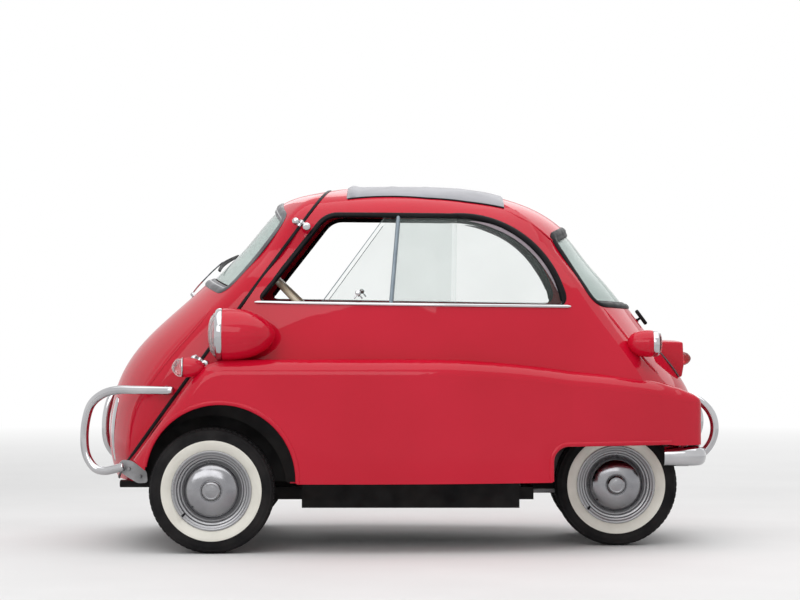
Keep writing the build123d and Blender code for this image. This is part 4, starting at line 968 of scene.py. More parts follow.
# %% Window seals
# Columns of each section: distance outwards from the outline, height over the skin, in metres
GLASS_SEAL = [(-0.024, -0.0095), (-0.0225, -0.004), (-0.018, -0.0005), (-0.0145, 0.0003), (-0.0125, 0.0025),
              (-0.0085, 0.0062), (-0.003, 0.0072), (0.0025, 0.0058), (0.0058, 0.0022), (0.0062, -0.001),
              (0.003, -0.005), (-0.010, -0.012)]
FILLER_HIGHLIGHT = [(-0.0155, 0.0002), (-0.0150, 0.0018), (-0.0132, 0.0030), (-0.0112, 0.0030), (-0.0106, 0.0010)]
SIDE_FRAME = [(-0.0112, -0.012), (-0.0110, -0.004), (-0.0096, 0.0008), (-0.0065, 0.0028), (-0.0028, 0.0036),
              (0.0010, 0.0030), (0.0034, 0.0012), (0.0036, -0.0015), (0.0010, -0.010)]
piece("windscreen_bead", strip_on_skin("windscreen_bead", windscreen_outline, "front", GLASS_SEAL),
      "seal_grey", "door", stands_for="windscreen_seal")
# A pale strip in the windscreen seal's groove: its pale colour paints the seal's highlight
piece("windscreen_filler", strip_on_skin("windscreen_filler", windscreen_outline, "front", FILLER_HIGHLIGHT),
      "filler_pale", "door")
piece("rear_window_bead", strip_on_skin("rear_window_bead", rear_outline, "rear", GLASS_SEAL),
      "rubber_black", "body", stands_for="rear_window_seal")

# %% [markdown]
# The side windows' frames are black and wider round the rear bow than along the foot. A pale felt strip
# lies inside the bow, and a slim upright divides the fixed pane from the sliding one.

# %% Side window frames
FRAME_STEP, FELT_STEP = 0.008, 0.010
# Where the frame starts to widen along the car, over what length, and by what share of its width
BOW_START, BOW_LENGTH, BOW_WIDER = 0.22, 0.30, 0.55
# Along its foot the frame keeps a fifth of its width: the foot's front end, its fall and its length
FOOT_FRONT, FOOT_FALL, FOOT_LENGTH, FOOT_NARROWER = (-0.487, 0.920), 0.018, 1.109, 0.80
FELT_IN, FELT_DEEP, FELT_HALF, FELT_FROM = 0.0200, 0.008, 0.0085, (0.26, 0.958)
DIVIDER_LOW, DIVIDER_HIGH, DIVIDER_HALF = (-0.033, 0.916), (-0.006, 1.236), 0.0072


def frame_share(spots):
    """How wide the frame is at each spot: wider round the rear bow, a thin line along the foot."""
    bow = np.clip((spots[:, 0] - BOW_START) / BOW_LENGTH, 0, 1)
    foot_z = FOOT_FRONT[1] - FOOT_FALL * (spots[:, 0] - FOOT_FRONT[0]) / FOOT_LENGTH
    foot = 1 - np.clip((spots[:, 1] - foot_z - 0.004) / 0.022, 0, 1)
    return (1 + BOW_WIDER * bow) * (1 - FOOT_NARROWER * foot)


def side_frame(side):
    """The black frame: its section cast onto the skin, with what lies inwards made wider or thinner."""
    flat = even_spaced(window_outline, FRAME_STEP)
    base = np.array(flat)
    share = frame_share(base)[:, None]
    rails = []
    for out, height in SIDE_FRAME:
        wide = base + (np.array(grown(flat, out)) - base) * (share if out < 0 else 1)
        rails.append(cast([tuple(row) for row in wide], side, height)[0])
    return loft("side_frame", rails, closed=True)


def faded(count, half, low=0.15):
    """Half widths along a bead that thins out over a quarter of its length at each end."""
    last = count - 1
    return [half * min(1.0, low + 4.0 * i / last, low + 4.0 * (last - i) / last) for i in range(count)]


def bow_felt(side):
    """The pale strip inside the frame's rear bow, fading out towards its ends."""
    flat = even_spaced(window_outline, FELT_STEP)
    spots = [inner for inner, base in zip(grown(flat, -FELT_IN), flat)
             if base[0] > FELT_FROM[0] and inner[1] > FELT_FROM[1]]
    start = max(range(len(spots)), key=lambda i: math.dist(spots[i], spots[i - 1]))
    path, ups = cast(spots[start:] + spots[:start], side, -FELT_DEEP)
    return tube("bow_felt", path, faded(len(path), FELT_HALF), around=10, flat=0.35, up=ups)


def line_between(low, high, count):
    """Evenly spaced places on a straight line in side view."""
    return [tuple(row) for row in np.linspace(low, high, count)]


def divider_bar(side):
    """The slim upright between the fixed pane and the sliding one."""
    path, ups = cast(line_between(DIVIDER_LOW, DIVIDER_HIGH, 24), side, -0.004)
    return tube("divider_bar", path, DIVIDER_HALF, around=14, flat=0.8, up=ups)


on_each_side("side_frame", side_frame, "window_black", "body", stands_for="side_window_frames")
on_each_side("bow_felt", bow_felt, "lining_grey", "body")
on_each_side("divider_bar", divider_bar, "divider_grey", "body")

# %% [markdown]
# The side window's front post is slim and leans with the door's edge. The panel's opening is cut forward to
# it with a boolean: a prism a millimetre inside the window's outline, so it meets nothing but the post.

# %% Slim front posts
CUTTER_IN = 0.001
CUTTER_STEP = 0.01
CUTTER_Y = (0.30, 0.85)


def opened_panel(side):
    """A copy of the side panel with its opening cut forward to the slim post."""
    rim = even_spaced(grown(even_spaced(window_outline, CUTTER_STEP), -CUTTER_IN), CUTTER_STEP)
    prism = loft("post_cutter", [[(x, SIDES[side] * y, z) for x, z in rim] for y in CUTTER_Y])
    cutter = linked("post_cutter", prism)
    carrier = linked("post_carrier", mesh_from(merged_copy("side_panel_" + side), "panel_copy"))
    cut = carrier.modifiers.new("cut", "BOOLEAN")
    cut.operation = "DIFFERENCE"
    cut.solver = "EXACT"
    cut.object = cutter
    result = applied(carrier)
    for helper in (cutter, carrier):
        bpy.data.objects.remove(helper)
    return smoothed(result, PANEL_SHARP)


for side in SIDES:
    panel = opened_panel(side)
    piece("side_panel_open_" + side, panel, "paint_red", "body", stands_for="side_panel_" + side)
    print("side panel", side, len(panel.polygons), "faces")

# %% [markdown]
# The rear half of each side window is fixed. The front half slides back behind it, and here it stands
# part-way open, so its leading edge slants across the opening and its rear part doubles the fixed glass.
# Each pane is a flat outline cut into a fine net, cast onto the skin and given its thickness inwards.

# %% Side panes
PANE_THICK, PANE_NET = 0.004, 0.022
PANE_STEP = 0.006
# How far each pane lies inside the window's outline, and under the skin
FIXED_IN, FIXED_DEEP = 0.004, 0.009
SLID_IN, SLID_DEEP, SLID_REAR = 0.007, 0.017, 0.213
# The sliding pane's leading edge, and its slim metal rail
EDGE_LOW, EDGE_HIGH = (-0.306, 0.900), (-0.057, 1.240)
RAIL_Z, RAIL_RADIUS, RAIL_AHEAD, RAIL_DEEP = (0.914, 1.222), 0.0013, 0.0008, 0.019


def pane_mesh(outline, side, depth):
    """A flat outline cut into a net, bent onto the skin and given its thickness."""
    flat = bmesh.new()
    flat.faces.new([flat.verts.new((a, 0, b)) for a, b in outline])
    spots = np.array(outline)
    for axis, way in ((0, Vector((1, 0, 0))), (1, Vector((0, 0, 1)))):
        for value in np.arange(spots[:, axis].min() + PANE_NET, spots[:, axis].max() - 0.002, PANE_NET):
            bmesh.ops.bisect_plane(flat, geom=flat.verts[:] + flat.edges[:] + flat.faces[:],
                                   plane_co=way * value, plane_no=way)
    place, way = CASTS[side]
    for vertex in flat.verts:
        spot, normal = on_skin(place(vertex.co.x, vertex.co.z), way)
        vertex.co = spot - normal * depth
    bmesh.ops.recalc_face_normals(flat, faces=flat.faces)
    sample = flat.faces[0]
    if sample.normal.y * SIDES[side] < 0:
        bmesh.ops.reverse_faces(flat, faces=flat.faces)
    bmesh.ops.solidify(flat, geom=flat.faces[:], thickness=PANE_THICK)
    bmesh.ops.recalc_face_normals(flat, faces=flat.faces)
    return mesh_from(flat, "pane")


def edge_x(z):
    """Where the sliding pane's leading edge is at a height."""
    return EDGE_LOW[0] + (z - EDGE_LOW[1]) * (EDGE_HIGH[0] - EDGE_LOW[0]) / (EDGE_HIGH[1] - EDGE_LOW[1])


def pane_rail(side):
    """The slim metal rail along the sliding pane's leading edge."""
    path, ups = cast([(edge_x(z) + RAIL_AHEAD, z) for z in np.linspace(*RAIL_Z, 30)], side, -RAIL_DEEP)
    return tube("pane_edge", path, RAIL_RADIUS, around=8, up=ups)


fixed_shape = [(x, z) for x, z in even_spaced(grown(window_outline, -FIXED_IN), PANE_STEP)
               if x > -0.030 + 0.08 * (z - 0.916)]
slid_shape = [(x, z) for x, z in even_spaced(grown(window_outline, -SLID_IN), PANE_STEP)
              if edge_x(z) < x < SLID_REAR]
on_each_side("fixed_pane", lambda side: pane_mesh(fixed_shape, side, FIXED_DEEP), "glass_clear", "body",
             stands_for="side_panes")
on_each_side("sliding_pane", lambda side: pane_mesh(slid_shape, side, SLID_DEEP), "glass_clear", "body",
             stands_for="side_panes")
on_each_side("pane_edge", pane_rail, "divider_grey", "body")
print("panes", len(fixed_shape), "and", len(slid_shape), "points round")

# %% [markdown]
# A plated catch on the sliding pane's foot holds it where it is pushed: a small round knob on a stem, with
# a foot each side. It is turned about the direction that the skin points in, like a drawer knob.

# %% Window catches
CATCH_KNOB = [(0, 0), (0, 7), (3, 7.2), (5, 4), (11, 3.2), (14, 5.5), (17, 9.5), (20, 10), (22.5, 8),
              (23.5, 4), (23.6, 0)]
CATCH_MIDDLE, CATCH_FEET = (-0.154, 0.951), [(-0.170, 0.932), (-0.138, 0.932)]


def window_catch(side):
    """The knob on its stem, and the bent wire of its two feet."""
    (root,), (out,) = cast([CATCH_MIDDLE], side, -0.012)
    (front, rear), _ = cast(CATCH_FEET, side, -0.010)
    return joined("window_catch", [lathe("catch_knob", scaled(CATCH_KNOB), root, out, 24),
                                   tube("catch_foot", [front, root + out * 0.006, rear], 0.0035, around=8)])


on_each_side("window_catch", window_catch, "chrome", "body")

# %% [markdown]
# A bright strip runs along the foot of each side window, a little narrower at its ends. It is a half-round
# bead of plated brass, pushed over clips in the real car, so it is swept along the skin.

# %% Bright strips under the windows
TRIM_FRONT, TRIM_REAR, TRIM_HALF = (-0.535, 0.9165), (0.632, 0.9000), 0.0062


def sill_trim(side):
    """The bright strip under a side window."""
    line = line_between(TRIM_FRONT, TRIM_REAR, 90)
    path, ups = cast(line, side, 0.003)
    wide = [TRIM_HALF * min(1, 0.55 + (x - TRIM_FRONT[0]) / 0.012, 0.45 + (TRIM_REAR[0] - x) / 0.02)
            for x, _ in line]
    return tube("sill_trim", path, wide, around=14, flat=0.75, up=ups)


on_each_side("sill_trim", sill_trim, "chrome", "body")

# %% [markdown]
# The door closes onto a hollow rubber section fixed round the opening. From outside it is the black line
# that slants from the roof to the sill, so its path is where the slanted plane of the gap cuts the skin.

# %% Door rubber
GAP_TOP = (-0.266, 1.346)
GAP_SLOPE = 1.364


def gap_x(z):
    """Where the gap's plane is at a height."""
    return GAP_TOP[0] - (GAP_TOP[1] - z) / GAP_SLOPE


SHELL_FOOT = 0.2505
RUBBER_BACK, RUBBER_PROUD, RUBBER_HALF, RUBBER_STEPS = 0.0035, 0.0008, 0.0066, 260
RAYS_FROM_Z = 0.80


def gap_ring():
    """Points round the skin on the plane of the door gap, just behind it, and the ways outwards there."""
    middle = Vector((gap_x(RAYS_FROM_Z) + RUBBER_BACK, 0, RAYS_FROM_Z))
    up = Vector((1 / GAP_SLOPE, 0, 1)).normalized()
    hits = []
    for turn in np.linspace(0, 2 * math.pi, RUBBER_STEPS, endpoint=False):
        way = Vector((0, 1, 0)) * math.cos(turn) + up * math.sin(turn)
        spot, normal, _, _ = skin_tree.ray_cast(middle, way)
        if spot.z > SHELL_FOOT:
            hits.append((turn, spot + normal * RUBBER_PROUD, normal))
    start = max(range(len(hits)), key=lambda i: (hits[i][0] - hits[i - 1][0]) % (2 * math.pi))
    hits = hits[start:] + hits[:start]
    return [spot for _, spot, _ in hits], [normal for _, _, normal in hits]


rubber_path, rubber_ups = gap_ring()
piece("door_rubber", tube("door_rubber", rubber_path, RUBBER_HALF, around=14, flat=0.62, up=rubber_ups),
      "rubber_black", "body")
print("door rubber points", len(rubber_path))

# %% [markdown]
# ## Wheel arches
# A fender's edge is rolled over a wire, which shows as a bright line round the opening. The rolled lip is a
# bead swept along the arch, with each point found by a ray cast at the fender from outside. The same rays
# serve the cut-out over the rear wheel.

# %% Fender skin
fender_trees = {side: ray_tree(nodes["fender_" + side].data) for side in SIDES}


def on_fender(side, x, z, proud=0.0):
    """The fender's outer side at a place in side view."""
    sign = SIDES[side]
    spot, normal, _, _ = fender_trees[side].ray_cast(Vector((x, sign * 1.5, z)), Vector((0, -sign, 0)))
    if spot is None:
        return None, None
    return spot + normal * proud, normal


ARCH_MIDDLE = (-0.655, 0.270)
ARCH_RADIUS = 0.280
REAR_CUT_Z = 0.392
REAR_CUT_X = 0.560
REAR_CUT_BLEND = 0.060
FENDER_BOTTOM = 0.256
# The lip's line lies this far off the opening's edge, and starts above the slanted foot
LIP_OFF = 0.0035
LIP_FRONT_Z, LIP_REAR_Z, LIP_END_X = 0.316, FENDER_BOTTOM + 0.004, 1.006


def arch_line():
    """The front opening's edge in side view, from its front foot over the top to its rear foot."""
    foot = math.asin((LIP_REAR_Z - ARCH_MIDDLE[1]) / ARCH_RADIUS)
    front_foot = math.asin((LIP_FRONT_Z - ARCH_MIDDLE[1]) / ARCH_RADIUS)
    radius = ARCH_RADIUS + LIP_OFF
    return [(ARCH_MIDDLE[0] + radius * math.cos(a), ARCH_MIDDLE[1] + radius * math.sin(a))
            for a in np.linspace(math.pi - front_foot, foot, 90)]


def rear_line():
    """The rear opening's edge: up its front side, round the corner and back along its top."""
    radius = REAR_CUT_BLEND
    middle = (REAR_CUT_X + radius, REAR_CUT_Z - radius)
    up = [(REAR_CUT_X - LIP_OFF, z) for z in np.linspace(LIP_REAR_Z, REAR_CUT_Z - radius, 14)]
    bend = [(middle[0] - (radius + LIP_OFF) * math.cos(a), middle[1] + (radius + LIP_OFF) * math.sin(a))
            for a in np.linspace(0, math.pi / 2, 14)]
    back = [(x, REAR_CUT_Z + LIP_OFF) for x in np.linspace(REAR_CUT_X + radius, LIP_END_X, 60)]
    return up + bend[1:] + back[1:]


# %% [markdown]
# Behind the rear wheel the fender runs on round the corner of the tail, a little higher than the plain
# shape under it, and its front corner is filled with a small web. Both are skins fitted over the fender:
# one section is carried along the fender's line seen from above, and its top reaches in to the body.

# %% Fender tails
SIDE_ARC = 3.0637
# Columns: x, half width, top
TAIL_LINE = [(0.600, 0.5827, 0.6655), (0.680, 0.5620, 0.6590), (0.760, 0.5370, 0.6510),
             (0.842, 0.5094, 0.6410), (0.900, 0.4880, 0.6335), (0.972, 0.4605, 0.6220),
             (1.030, 0.4370, 0.6060), (1.070, 0.4190, 0.5910), (1.098, 0.4030, 0.5790),
             (1.116, 0.3890, 0.5710), (1.1245, 0.3720, 0.5670),
             (1.1255, 0.3520, 0.5650), (1.120, 0.3320, 0.5640), (1.104, 0.3080, 0.5630),
             (1.078, 0.2860, 0.5620), (1.046, 0.2640, 0.5600)]
TAIL_FOOT_Z, TAIL_BEND_Z = 0.3895, 0.45
TAIL_THICK = 0.020
# The top edge's round, along the side and at the corner
ROUND_WIDE, ROUND_SLIM = 0.060, 0.030
tail_ends = [TAIL_LINE[0]] + TAIL_LINE + [TAIL_LINE[-1]]
tail_rows = spline([np.array(row) for row in tail_ends], 6)


def fender_half(x):
    """Half the width over the fenders, behind where their sides are straight."""
    return 0.690 - (SIDE_ARC - math.sqrt(SIDE_ARC**2 - (x + 0.2)**2))


def fender_tail():
    """The section carried along the table's line: foot, side, rounded top, and back down inside."""
    rings = []
    for i, (x, half, top) in enumerate(tail_rows):
        ahead, behind = tail_rows[min(i + 1, len(tail_rows) - 1)], tail_rows[max(i - 1, 0)]
        run = Vector((ahead[0] - behind[0], behind[1] - ahead[1], 0)).normalized()
        out = Vector((run.y, -run.x, 0))
        spot = Vector((x, -half, 0))
        round_off = ROUND_SLIM
        if half > 0.37:
            round_off = ROUND_WIDE - (ROUND_WIDE - ROUND_SLIM) * min(1, max(0, (x - 1.03) / 0.09))
        foot = Vector((0, 0, TAIL_FOOT_Z - 0.006 * min(1, max(0, (x - 0.98) / 0.05))))
        bend = Vector((0, 0, TAIL_BEND_Z))
        ring = [spot + foot, spot + bend]
        for turn in np.linspace(0, math.pi / 2, 9):
            ring.append(spot - out * round_off * (1 - math.cos(turn))
                        + Vector((0, 0, top - round_off * (1 - math.sin(turn)))))
        found, normal, _, _ = skin_tree.ray_cast(ring[-1] + out * 0.2, -out)
        inner = ring[-1] - out * 0.002
        if found is not None and (found - inner).dot(out) < 0:
            inner = found - out * 0.004
        ring += [ring[-1].lerp(inner, 0.5), inner]
        ring += [spot - out * (TAIL_THICK + 0.002) + bend, spot - out * TAIL_THICK + foot]
        rings.append(ring)
    return loft("fender_tail", rings)


def corner_web():
    """The web that rounds the front corner of the rear opening."""
    middle = (REAR_CUT_X + REAR_CUT_BLEND, REAR_CUT_Z - REAR_CUT_BLEND)
    edge = [(REAR_CUT_X - 0.003, REAR_CUT_Z + 0.003)]
    edge += [(middle[0] - REAR_CUT_BLEND * math.sin(a), middle[1] + REAR_CUT_BLEND * math.cos(a))
             for a in np.linspace(0, math.pi / 2, 12)]
    outer, inner = ([(x, -fender_half(x) + off, z) for x, z in edge] for off in (-0.0005, 0.0215))
    count = len(edge)
    faces = [(0, i, i + 1) for i in range(1, count - 1)]
    faces += [(count, count + i + 1, count + i) for i in range(1, count - 1)]
    faces += grid_faces(2, count, closed_columns=True)
    return mesh_of("corner_web", outer + inner, faces)


tail_cover = joined("tail_cover", [fender_tail(), corner_web()])
piece("fender_tail_left", tail_cover, "paint_red", "body")
piece("fender_tail_right", mirrored(tail_cover), "paint_red", "body")

# %% [markdown]
# The foot of each fender in front of the wheel is cut off at a slant, above the bracket that holds the
# front guard. A plane cuts a copy of the fender there, and the cut is closed with a face.

# %% Fender feet
FOOT_CUT_FRONT, FOOT_CUT_REAR = (-1.008, 0.3588), (-0.9224, 0.2944)


def cut_foot(node_name):
    """A copy of a fender without its foot below the slanted line."""
    copy = merged_copy(node_name)
    front, rear = (Vector((x, 0, z)) for x, z in (FOOT_CUT_FRONT, FOOT_CUT_REAR))
    slope = (rear - front).normalized()
    down = Vector((slope.z, 0, -slope.x))
    bmesh.ops.bisect_plane(copy, geom=copy.verts[:] + copy.edges[:] + copy.faces[:], dist=1e-6,
                           plane_co=front, plane_no=down, clear_outer=True)
    rim = [edge for edge in copy.edges if len(edge.link_faces) == 1]
    bmesh.ops.holes_fill(copy, edges=rim, sides=0)
    bmesh.ops.triangulate(copy, faces=[face for face in copy.faces if len(face.verts) > 4])
    bmesh.ops.recalc_face_normals(copy, faces=copy.faces)
    return mesh_from(copy, node_name + "_cut", PANEL_SHARP)


for side in SIDES:
    shell = cut_foot("fender_" + side)
    piece("fender_panel_" + side, shell, "paint_red", "body", stands_for="fender_" + side)
    print("fender", side, len(shell.polygons), "faces")

# %% [markdown]
# The lips follow the two openings' edges, a few millimetres off them. Behind the wheel the rear lip lies on
# the fender's tail.

# %% Rolled lips
LIP_RADIUS = 0.0088
# The tail's rows that the lip lies on, up to the corner
LIP_ROWS = 60


def lip(side, line):
    """A bead along an edge; behind the wheel it lies on the fender's tail."""
    sign = SIDES[side]
    tail = tail_rows[:LIP_ROWS]
    path, ups = [], []
    for x, z in line:
        spot, normal = on_fender(side, x, z + 0.004, -0.002)
        if x > 0.5:
            half = fender_half(x)
            if x > 0.62:
                half = max(half, float(np.interp(x, [row[0] for row in tail], [row[1] for row in tail])))
            spot, normal = Vector((x, sign * (half - 0.0015), z)), Vector((0.25, sign, 0)).normalized()
        if spot is not None and abs(normal.y) > 0.15:
            path.append(Vector((spot.x, spot.y, z)))
            ups.append(normal)
    return tube("lip", path, LIP_RADIUS, around=14, flat=0.75, up=ups)


on_each_side("arch_lips", lambda side: joined("arch_lips", [lip(side, arch_line()), lip(side, rear_line())]),
             "paint_red", "body")

# %% [markdown]
# Inside the front arch a thin black skin is laid over the shell's side and the fender. It stands for
# underseal, and its black also paints the shade that fills the arch. It lies a millimetre or two off the
# panel, between the wheel well and the rolled lip.

# %% Underseal and painted shade in the front arches
SHADE_SEAL_INNER, SHADE_SEAL_OUTER = ((-0.688, 0.230), 0.270), (ARCH_MIDDLE, 0.310)
SHADE_SEAL_OVERLAP, SHADE_SEAL_LIFTS = 0.04, (0.0035, 0.0015)


def underseal(side):
    """A thin black curved band between the wheel well's arc and one under the lip: underseal, and painted
    shade in the arch.
    """
    sign = SIDES[side]
    rings = []
    for turn in np.linspace(-SHADE_SEAL_OVERLAP, math.pi + SHADE_SEAL_OVERLAP, 60):
        way = np.array((math.cos(turn), math.sin(turn)))
        inner, outer = (np.array(middle) + radius * way for middle, radius in (SHADE_SEAL_INNER, SHADE_SEAL_OUTER))
        hits = []
        for x, z in np.linspace(inner, outer, 5):
            spot, normal, _, _ = skin_tree.ray_cast(Vector((x, sign * 3, max(z, FENDER_BOTTOM))),
                                                    Vector((0, -sign, 0)))
            hits.append((spot, normal))
        high, low = ([spot + normal * lift for spot, normal in hits] for lift in SHADE_SEAL_LIFTS)
        rings.append(high + low[::-1])
    return loft("underseal", rings)


# The band's black is partly underseal and partly painted shade inside the arch
on_each_side("underseal", underseal, "frame_black", "body")
print("arch lips and underseal made")

# %% [markdown]
# ## Lamps
# A headlamp has a plated bezel with a dark gap behind it, a domed fluted lens, and a bright bowl with a bulb
# inside. All of it is turned about the lamp's axis, which points straight ahead, so one set of profiles
# serves both sides. The rear lamps and indicators are made the same way, at their own sizes.

# %% Headlamps
HEADLAMP = (-0.648, 0.612, 0.799)
AHEAD, BEHIND = (-1, 0, 0), (1, 0, 0)
# Columns: distance ahead of the pod's mouth, radius, in millimetres
BEZEL = [(0.5, 90), (0.5, 95), (2.5, 97), (6, 97.6), (13, 97.2), (19, 95.2), (23.5, 91.5), (26.4, 87.4),
         (26.8, 85.2), (25.6, 83.8), (16, 83.8), (3, 86)]
BOWL = [(1.5, 86), (11, 83.6), (10.4, 82.4), (1, 84.5), (-12, 78), (-24, 68), (-34, 54), (-40, 38),
        (-43, 20), (-43, 8), (-45.5, 8), (-45.5, 20), (-42, 39), (-36, 56), (-26, 70), (-13, 80), (-1, 86)]
LAMP_LENS = [(24.5, 83.2), (27.5, 82.6), (35, 76), (42.5, 66), (48, 53), (51.6, 38), (53.6, 20),
             (54.2, 0), (51.8, 0), (51.2, 20), (49.2, 37), (45.8, 51), (40.5, 64), (33.5, 73.5),
             (26.5, 80), (24.5, 80.6)]
BULB = [(-43, 5.5), (-30, 5.5), (-28, 7.5), (-20, 9.5), (-13, 8), (-9.5, 4.5), (-8.6, 0), (-43, 0)]
# Columns: name, profile, steps round, finish, node
HEADLAMP_PARTS = (("headlamp_bezel", BEZEL, 96, "chrome", ()),
                  ("headlamp_bowl", BOWL, 72, "mirror_bowl", ()),
                  ("headlamp_lens", LAMP_LENS, 96, "lens_clear", "headlamp_lenses"),
                  ("headlamp_bulb", BULB, 32, "chrome", ()))


def at_side(spot, side):
    """A place given for the right side, on either side."""
    return (spot[0], SIDES[side] * spot[1], spot[2])


for name, profile, steps, finish, node in HEADLAMP_PARTS:
    on_each_side(name, lambda side: lathe(name, scaled(profile), at_side(HEADLAMP, side), AHEAD, steps),
                 finish, "body", stands_for=node)

# %% [markdown]
# The front indicators are small bullets with a cut-glass lens. The facets are what makes them sparkle, so
# the lens is turned with few steps and shaded flat. The tail lamps have a plain red dome.

# %% Indicators and tail lamps
INDICATOR = (-0.791, 0.640, 0.680)
TAIL_LAMP = (0.943, 0.400, 0.762)
INDICATOR_RING = [(0, 29), (0, 35.2), (1.6, 36.4), (4.2, 36.2), (5.6, 34.6), (6.2, 33.2), (4.6, 32), (2, 28)]
INDICATOR_LENS = [(2, 33), (6, 33.4), (12, 34), (20, 32.4), (28, 27.6), (34.5, 20.4), (39.4, 11.6),
                  (41.6, 4.5), (42, 0), (2, 0)]
INDICATOR_MIRROR = [(0.3, 0), (0.8, 22), (1.2, 30.5), (1.9, 30.5), (1.6, 20), (1.3, 0)]
TAIL_RING = [(0, 44), (0, 48.4), (3, 49.8), (9, 49.8), (15, 49), (19, 47.4), (21.6, 44.8), (21.4, 43),
             (8, 42.5)]
TAIL_LENS = [(8, 42.4), (21.6, 42.4), (25, 40.6), (28.6, 36), (31.6, 27), (33.4, 15), (34, 0), (8, 0)]


# The angle past which every edge of a cut-glass lens is sharp
FACET_SHARP = 0.02


def indicator_part(side, profile, steps):
    """A profile turned about an indicator's axis."""
    return lathe("indicator_part", scaled(profile), at_side(INDICATOR, side), AHEAD, steps)


def tail_part(side, profile):
    """A profile turned about a tail lamp's axis."""
    return lathe("tail_part", scaled(profile), at_side(TAIL_LAMP, side), BEHIND, 72)


def lamp_rings(side):
    """The plated rings of one side's indicator and tail lamp."""
    return joined("lamp_rings", [indicator_part(side, INDICATOR_RING, 64), tail_part(side, TAIL_RING)])


on_each_side("lamp_rings", lamp_rings, "chrome", "body", stands_for="lamp_rings")
on_each_side("indicator_mirror", lambda side: indicator_part(side, INDICATOR_MIRROR, 48), "mirror_bowl",
             "body")
on_each_side("indicator_lens", lambda side: smoothed(indicator_part(side, INDICATOR_LENS, 18), FACET_SHARP),
             "lens_amber", "body", stands_for="indicator_lenses")
on_each_side("tail_lens", lambda side: tail_part(side, TAIL_LENS), "lens_red", "body",
             stands_for="tail_lamp_lenses")
print("lamps made")

# %% [markdown]
# Each lamp stands in a painted pod, which is a turned bullet or teardrop. The indicator and tail pods sink
# into the panel behind them. A headlamp pod stands further off, on a short oval neck that spreads onto the
# skin, so its foot is found there by rays.

# %% Lamp pods
HEADLAMP_POD = [(-4, 86.5), (0, 88), (0, 95.2), (-8, 96.4), (-30, 96.6), (-60, 94), (-90, 88),
                (-118, 78.5), (-144, 65), (-166, 48), (-182, 29), (-190, 12), (-192, 0), (-60, 0),
                (-58, 30), (-50, 56), (-30, 74)]
INDICATOR_POD = [(0, 0), (0, 31), (-2, 34), (-10, 35.6), (-24, 35.8), (-42, 33), (-58, 26.5), (-70, 18),
                 (-78, 8.5), (-80, 0)]
TAIL_POD = [(0, 0), (0, 47.5), (-3, 49), (-14, 50.2), (-34, 49.6), (-54, 46.4), (-70, 40.4), (-83, 31),
            (-92, 18), (-95, 7), (-95.4, 0)]
NECK_MIDDLE, NECK_POD_Y = (-0.560, HEADLAMP[2] - 0.008), 0.590
# The neck's half length and half height, in the pod and on the skin
NECK_SIZE, NECK_FOOT = np.array((0.048, 0.042)), np.array((0.074, 0.058))


def headlamp_neck(side):
    """An oval neck from inside the pod to the skin beside it."""
    sign = SIDES[side]
    rings = []
    for share in np.linspace(0, 1, 7):
        wide, high = NECK_SIZE + (NECK_FOOT - NECK_SIZE) * (1 - math.sqrt(max(0, 1 - share * share)))
        ring = []
        for turn in np.linspace(0, 2 * math.pi, 40, endpoint=False):
            x, z = NECK_MIDDLE[0] + wide * math.cos(turn), NECK_MIDDLE[1] + high * math.sin(turn)
            spot, _ = on_skin((x, sign * 3, z), (0, -sign, 0), -0.0015)
            ring.append(Vector((x, sign * NECK_POD_Y, z)).lerp(spot, share))
        rings.append(ring)
    return loft("headlamp_neck", rings)


def lamp_pods(side):
    """One side's three painted pods."""
    headlamp = lathe("headlamp_pod", scaled(HEADLAMP_POD), at_side(HEADLAMP, side), AHEAD, 96)
    return joined("lamp_pods", [headlamp, headlamp_neck(side), indicator_part(side, INDICATOR_POD, 64),
                                tail_part(side, TAIL_POD)])


on_each_side("lamp_pods", lamp_pods, "paint_red", "body", stands_for="lamp_pods")
print("lamp pods made")

# %% [markdown]
# ## Bars and bumpers
# The bars are bent from one size of tube and plated. A smooth curve through the few places that the bar
# passes gives its line, and a bead swept along it is the tube. Its ends are drawn in to a round nose.

# %% Front guards
BAR_RADIUS = 0.016
GUARD_SIDE = [(-0.832, 0.592), (-0.900, 0.592), (-0.975, 0.592), (-1.045, 0.591), (-1.103, 0.5755),
              (-1.150, 0.535), (-1.1715, 0.4664), (-1.1755, 0.392), (-1.165, 0.340), (-1.136, 0.300),
              (-1.099, 0.290), (-1.060, 0.2975), (-1.020, 0.308)]
GUARD_START = (-0.830, -0.566)
# The guard stands in an upright plane that turns in towards the nose
GUARD_SLANT = -0.166 / 0.355
# Columns: x and z of a foot, its radius
GUARD_FEET = ((-0.862, 0.592, 0.010), (-1.034, 0.304, 0.012))
BRACKET = [(-1.036, 0.332), (-0.995, 0.330), (-0.936, 0.292), (-0.932, 0.250), (-0.970, 0.246),
           (-1.036, 0.284)]
BRACKET_ROUND, BRACKET_IN, BRACKET_THICK = 0.012, 0.016, 0.004
BRACKET_BOLTS = ((-1.003, 0.300), (-0.960, 0.272))
BOLT = [(0, 0), (0, 8), (1, 8.4), (1.6, 8.4), (1.6, 6.6), (5.6, 6.6), (6.6, 5.6), (6.8, 0)]
BOLT_WAY = (-0.42, -0.907, 0)


def through(points, steps=8):
    """A smooth line through points, each stretch cut in equal steps."""
    points = [Vector(p) for p in points]
    return spline([points[0] * 2 - points[1]] + points + [points[-1] * 2 - points[-2]], steps)


def nosed(count, radius):
    """Radii along a bar that is drawn in to a round nose at its ends."""
    made = [radius] * count
    for i, share in enumerate((0.45, 0.80, 0.95)):
        made[i] = made[-1 - i] = radius * share
    return made


def guard_y(x):
    """Where the left guard's plane is across the car."""
    return GUARD_START[1] + (x - GUARD_START[0]) * GUARD_SLANT


